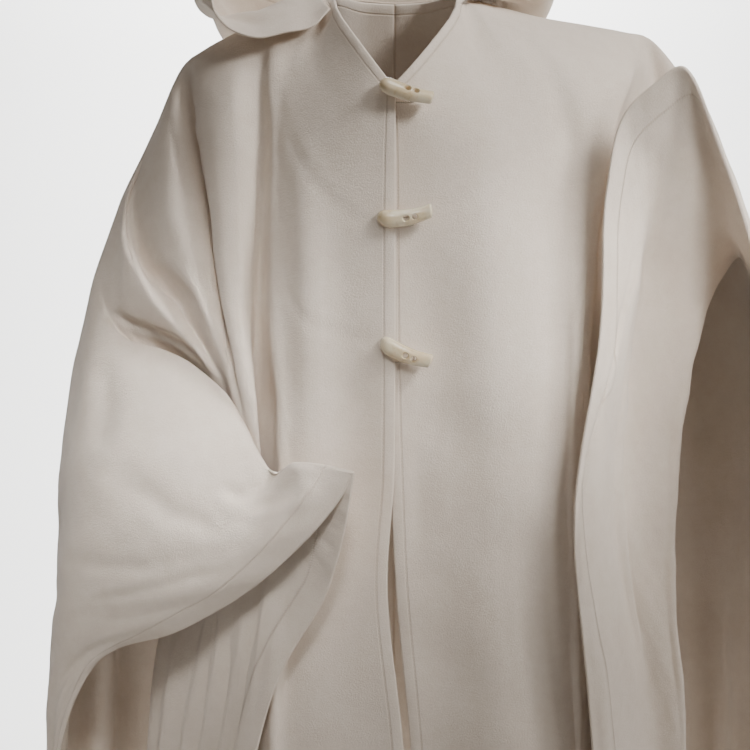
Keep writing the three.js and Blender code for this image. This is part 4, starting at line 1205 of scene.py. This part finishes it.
@dataclass
class Toggle:
    """A cast resin toggle: a domed bar with a round end, a squared end and two flared holes.

    Sizes are in millimetres. round_end, corner and taper_from are shares of the length; corner_size and taper
    are what is left at the corner and what the taper takes away. The drill's profile is its depth and how far
    it flares there, in parts of hole_flare. sharp is the angle in degrees past which an edge stays sharp.
    """

    seat: ToggleSeat
    length: float = 52.0
    width: float = 17.0
    thick: float = 9.0
    back_round: float = 1.6
    bow: float = 3.5
    hole: float = 2.6
    hole_flare: float = 1.2
    hole_pitch: float = 8.4
    holes_from_middle: float = 5.0
    drill_profile: tuple[Place, ...] = ((-14.0, 2.2), (-9.2, 1.5), (-8.2, 0.7), (-6.8, 0.0),
                                        (0.2, 0.0), (1.2, 0.5), (2.2, 1.1), (6.0, 2.2))
    drill_steps: int = 28
    round_end: float = 0.2
    corner: float = 0.045
    corner_size: float = 0.62
    taper: float = 0.2
    taper_from: float = 0.25
    front_power: float = 0.75
    back_power: float = 0.6
    edge_power: float = 0.85
    sharp: float = 50.0
    along_steps: int = 60
    round_steps: int = 44

    def bar(self) -> Array:
        """The bar's points: rings along it whose height and depth follow one profile.

        The profile rises as a quarter circle at the round end, tapers, and turns in at the squared end. Round
        each ring the front is a flattened dome and the back nearly flat: sine and cosine raised to powers.

        Returns:
            Points by ring and round it.
        """
        square_end = 1 - self.corner
        quarter = np.pi / 2
        share = np.concatenate([
            self.round_end * (1 - np.cos(np.linspace(0, quarter, self.along_steps // 3))),
            np.linspace(self.round_end, square_end, self.along_steps // 2)[1:],
            square_end + self.corner * np.sin(np.linspace(0, quarter, self.along_steps // 6))[1:],
        ])
        rise = np.sqrt(np.maximum(1 - (1 - np.clip(share / self.round_end, 0, 1)) ** 2, 0))
        taper = 1 - self.taper * ease(share, self.taper_from, 1.0)
        corner = np.sqrt(np.maximum(1 - (np.clip(share - square_end, 0, 1) / self.corner) ** 2, 0))
        size = rise * taper * (self.corner_size + (1 - self.corner_size) * corner)
        turn = np.linspace(0, 2 * np.pi, self.round_steps, endpoint=False)
        sine, cosine = np.sin(turn), np.cos(turn)
        front = np.maximum(sine, 0) ** self.front_power
        back = np.maximum(-sine, 0) ** self.back_power
        edge = np.sign(cosine) * np.abs(cosine) ** self.edge_power
        x = np.repeat(((share - 0.5) * self.length)[:, None], self.round_steps, axis=1)
        y = -size[:, None] * self.thick * front[None] + size[:, None] * self.back_round * back[None]
        z = size[:, None] * self.width / 2 * edge[None] + (self.bow * (2 * share - 1) ** 2)[:, None]
        return np.stack([x, y, z], axis=-1)

    def drill(self, x: float) -> bpy.types.Object:
        """A drill for one hole: a round shaft that flares towards both faces of the bar.

        Args:
            x: how far from the bar's middle.

        Returns:
            The drill's object.
        """
        depth, flare = np.array(self.drill_profile).T
        turn = np.linspace(0, 2 * np.pi, self.drill_steps, endpoint=False)
        radius = self.hole + flare * self.hole_flare
        points = np.stack([x + radius[:, None] * np.cos(turn)[None],
                           np.repeat(depth[:, None], len(turn), axis=1),
                           radius[:, None] * np.sin(turn)[None]], axis=-1)
        return closed_tube(f"drill_{self.seat.number}", points)

    def build(self, material: bpy.types.Material) -> bpy.types.Object:
        """Makes the toggle: the bar, its holes cut, turned and moved onto the cloth.

        Args:
            material: the resin.

        Returns:
            The object.
        """
        bar = closed_tube(f"bar_{self.seat.number}", self.bar())
        for side in (-0.5, 0.5):
            bar = cut_away(bar, self.drill(self.holes_from_middle + side * self.hole_pitch))
        bar.name = bar.data.name = f"resin_toggle_{self.seat.number}"
        tilt, roll = math.radians(-self.seat.tilt), math.radians(-self.seat.roll)
        about_y = np.array([[math.cos(tilt), 0, math.sin(tilt)],
                            [0, 1, 0],
                            [-math.sin(tilt), 0, math.cos(tilt)]])
        about_x = np.array([[1, 0, 0],
                            [0, math.cos(roll), -math.sin(roll)],
                            [0, math.sin(roll), math.cos(roll)]])
        move_to_node(bar.data, f"toggle_{self.seat.number}", about_y @ about_x)
        bar.data.polygons.foreach_set("use_smooth", np.full(len(bar.data.polygons), True))
        bar.data.set_sharp_from_angle(angle=math.radians(self.sharp))
        place_piece(bar, material, [f"toggle_{self.seat.number}"])
        return bar


def closed_tube(name: str, points: Array) -> bpy.types.Object:
    """A tube of rings, in millimetres, closed by a fan at both ends, its faces pointing out.

    Args:
        name: the object's name.
        points: the rings' points, by ring and round it.

    Returns:
        The object, not yet in the scene.
    """
    rings, around = points.shape[:2]
    middles = points[[0, -1]].mean(axis=1)
    flat = np.concatenate([points.reshape(-1, 3), middles]) * MM
    ring = np.arange(around)
    following = (ring + 1) % around
    last = (rings - 1) * around
    first_fan = np.stack([ring, following, np.full(around, rings * around)], axis=-1)
    last_fan = np.stack([last + following, last + ring, np.full(around, rings * around + 1)], axis=-1)
    mesh = bpy.data.meshes.new(name)
    faces = ring_quads(rings, around).tolist() + first_fan.tolist() + last_fan.tolist()
    mesh.from_pydata(flat.tolist(), [], faces)
    work = bmesh.new()
    work.from_mesh(mesh)
    bmesh.ops.remove_doubles(work, verts=work.verts, dist=TUBE_DOUBLES)
    bmesh.ops.recalc_face_normals(work, faces=work.faces)
    work.to_mesh(mesh)
    work.free()
    mesh.polygons.foreach_set("use_smooth", np.full(len(mesh.polygons), True))
    return bpy.data.objects.new(name, mesh)


def cut_away(body: bpy.types.Object, tool: bpy.types.Object) -> bpy.types.Object:
    """The body with the tool's space cut out of it; both old objects are removed.

    Args:
        body: what is cut.
        tool: what cuts.

    Returns:
        A new object, not yet in the scene.
    """
    scene = bpy.context.scene.collection
    scene.objects.link(body)
    scene.objects.link(tool)
    cut = body.modifiers.new("cut", "BOOLEAN")
    cut.operation, cut.object, cut.solver = "DIFFERENCE", tool, "EXACT"
    depsgraph = bpy.context.evaluated_depsgraph_get()
    mesh = bpy.data.meshes.new_from_object(body.evaluated_get(depsgraph))
    bpy.data.objects.remove(tool)
    bpy.data.objects.remove(body)
    return bpy.data.objects.new("cut", mesh)


@dataclass
class CordLoop:
    """A loop of two-ply cord, sewn under the right front edge and passed round a toggle; in millimetres.

    cord and ply are radii, spread is half the loop's width, under how far its ends run in under the edge, and
    lay the length of one turn of the plies.
    """

    seat: ToggleSeat
    cord: float = 1.1
    ply: float = 0.62
    reach: float = 17.0
    spread: float = 4.0
    under: float = 5.0
    lay: float = 4.5
    bend_steps: int = 13
    steps: int = 150
    round_steps: int = 10

    def path(self) -> Array:
        """The loop's middle line: in along the top, a half circle, and back along the bottom.

        Returns:
            Points along it.
        """
        turn = np.linspace(np.pi / 2, -np.pi / 2, self.bend_steps)
        bend = np.stack([self.reach - self.spread + self.spread * np.cos(turn), 0 * turn,
                         self.spread * np.sin(turn)], axis=-1)
        ends = np.array([[-self.under, 0, self.spread], [-self.under, 0, -self.spread]])
        run = np.concatenate([ends[:1], bend, ends[1:]])
        return smooth_through(run, np.linspace(0, len(run) - 1, self.steps))

    def build(self, material: bpy.types.Material) -> bpy.types.Object:
        """Makes the loop: two round plies that wind about the middle line once for each lay of cord.

        Args:
            material: the cord.

        Returns:
            The object.
        """
        path = self.path()
        along = np.gradient(path, axis=0)
        along /= np.linalg.norm(along, axis=-1, keepdims=True)
        beside = np.broadcast_to(np.array([0.0, 1.0, 0.0]), path.shape)
        upward = np.cross(along, beside)
        length = run_along(path, 0)[:, None]
        around = np.linspace(0, 2 * np.pi, self.round_steps, endpoint=False)[None]
        meshes = []
        for ply in (0.0, np.pi):
            wind = 2 * np.pi * length / self.lay + ply
            centre = path + (self.cord - self.ply) * (np.cos(wind) * beside + np.sin(wind) * upward)
            ring = (centre[:, None] + self.ply * (np.cos(around)[..., None] * beside[:, None]
                                                  + np.sin(around)[..., None] * upward[:, None]))
            meshes.append(closed_tube(f"ply_{self.seat.number}", ring).data)
        work = bmesh.new()
        for mesh in meshes:
            work.from_mesh(mesh)
        joined = bpy.data.meshes.new(f"cord_loop_{self.seat.number}")
        work.to_mesh(joined)
        work.free()
        move_to_node(joined, f"loop_{self.seat.number}", np.eye(3))
        piece = bpy.data.objects.new(joined.name, joined)
        place_piece(piece, material, [f"loop_{self.seat.number}"])
        return piece


# ---------------------------------------------------------------- studio


@dataclass(frozen=True)
class Lamp:
    """A square soft light: where it stands, what it faces and its size in metres, its watts and its spread.

    The spread is in degrees.
    """

    name: str
    place: Point
    aim: Point
    size: float
    power: float
    spread: float = 180.0

    def build(self) -> bpy.types.Object:
        """Makes the light, which the camera doesn't see.

        Returns:
            Its object.
        """
        light = bpy.data.lights.new(self.name, "AREA")
        light.size, light.energy, light.spread = self.size, self.power, math.radians(self.spread)
        piece = bpy.data.objects.new(self.name, light)
        piece.location = self.place
        piece.visible_camera = False
        piece.rotation_euler = (Vector(self.aim) - Vector(self.place)).to_track_quat("-Z", "Y").to_euler()
        bpy.context.scene.collection.objects.link(piece)
        return piece


MIDDLE = (0.0, -0.05, -0.30)
LAMPS = (
    Lamp("key", (1.00, -0.74, 0.74), MIDDLE, 0.35, 20.0),
    Lamp("top", (0.20, -0.36, 1.00), MIDDLE, 0.6, 4.5),
    Lamp("fill", (-1.30, -1.20, 0.55), MIDDLE, 1.0, 1.5),
    Lamp("panel", (0.46, -0.62, -0.05), (0.20, -0.11, -0.30), 0.15, 0.30, 44.0),
    Lamp("forearm", (-0.10, -0.80, 0.20), (-0.24, -0.10, -0.46), 0.25, 0.48, 32.0),
    Lamp("wall", (0.0, 2.0, 1.1), (0.0, 3.1, -0.4), 1.6, 250.0),
)


@dataclass
class Studio:
    """A pale floor and wall, soft lights and the camera.

    Lengths are in metres, lens and sensor in millimetres; camera_down, how far below the level the camera
    looks, is in degrees.
    """

    floor: float = -1.42
    front_reach: float = -6.0
    back_wall: float = 3.2
    wall_height: float = 5.0
    half_width: float = 6.0
    sweep: float = 1.4
    sweep_steps: int = 24
    paint: Point = (0.86, 0.86, 0.85)
    air: Point = (1.0, 0.86, 0.74)
    air_strength: float = 0.09
    camera_place: Point = (-0.020, -1.875, -0.050)
    camera_down: float = 9.8
    lens: float = 89.7
    sensor: float = 36.0

    def backdrop(self) -> bpy.types.Object:
        """Makes the floor: flat in front, then a quarter circle up into a wall.

        Returns:
            Its object.
        """
        turn = np.linspace(0, np.pi / 2, self.sweep_steps)
        start = self.back_wall - self.sweep
        depth = np.concatenate([[self.front_reach], start + self.sweep * np.sin(turn), [self.back_wall]])
        height = self.floor + np.concatenate([[0.0], self.sweep * (1 - np.cos(turn)), [self.wall_height]])
        across = np.array([-self.half_width, self.half_width])
        points = np.stack([np.repeat(across[None], len(depth), 0), np.repeat(depth[:, None], 2, 1),
                           np.repeat(height[:, None], 2, 1)], axis=-1)
        quads = grid_quads(np.arange(points.shape[0] * 2).reshape(-1, 2))[:, ::-1]
        piece = bpy.data.objects.new("studio_floor", mesh_from("studio_floor", points.reshape(-1, 3), quads))
        bpy.context.scene.collection.objects.link(piece)
        paint = Shader("pale_floor", Base_Color=colour(*self.paint), Roughness=0.9)
        piece.data.materials.append(paint.material)
        return piece

    def build(self) -> None:
        """Makes the floor, the lights, the world and the camera."""
        scene = bpy.context.scene
        world = bpy.data.worlds.new("pale_room")
        world.use_nodes = True
        background = world.node_tree.nodes["Background"]
        background.inputs["Color"].default_value = colour(*self.air)
        background.inputs["Strength"].default_value = self.air_strength
        scene.world = world
        self.backdrop()
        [lamp.build() for lamp in LAMPS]
        camera = bpy.data.cameras.new("camera")
        camera.lens, camera.sensor_width = self.lens, self.sensor
        piece = bpy.data.objects.new("camera", camera)
        piece.location = self.camera_place
        piece.rotation_euler = (math.radians(90 - self.camera_down), 0.0, 0.0)
        scene.collection.objects.link(piece)
        scene.camera = piece


def main() -> None:
    """Builds the poncho: its two halves, hood, toggles and cord loops, and then the studio."""
    logging.basicConfig(level=logging.INFO, format="%(name)s: %(message)s")
    wool = WoolFelt().material()
    ClothHalf(Side.RIGHT, FRONT_RIGHT, BACK_RIGHT).build(wool)
    ClothHalf(Side.LEFT, FRONT_LEFT, BACK_LEFT).build(wool)
    Hood().build(wool)
    resin, cord = CastResin().material(), TwistedCord().material()
    for seat in TOGGLE_SEATS:
        Toggle(seat).build(resin)
        CordLoop(seat).build(cord)
    Studio().build()


if __name__ == "__main__":
    main()
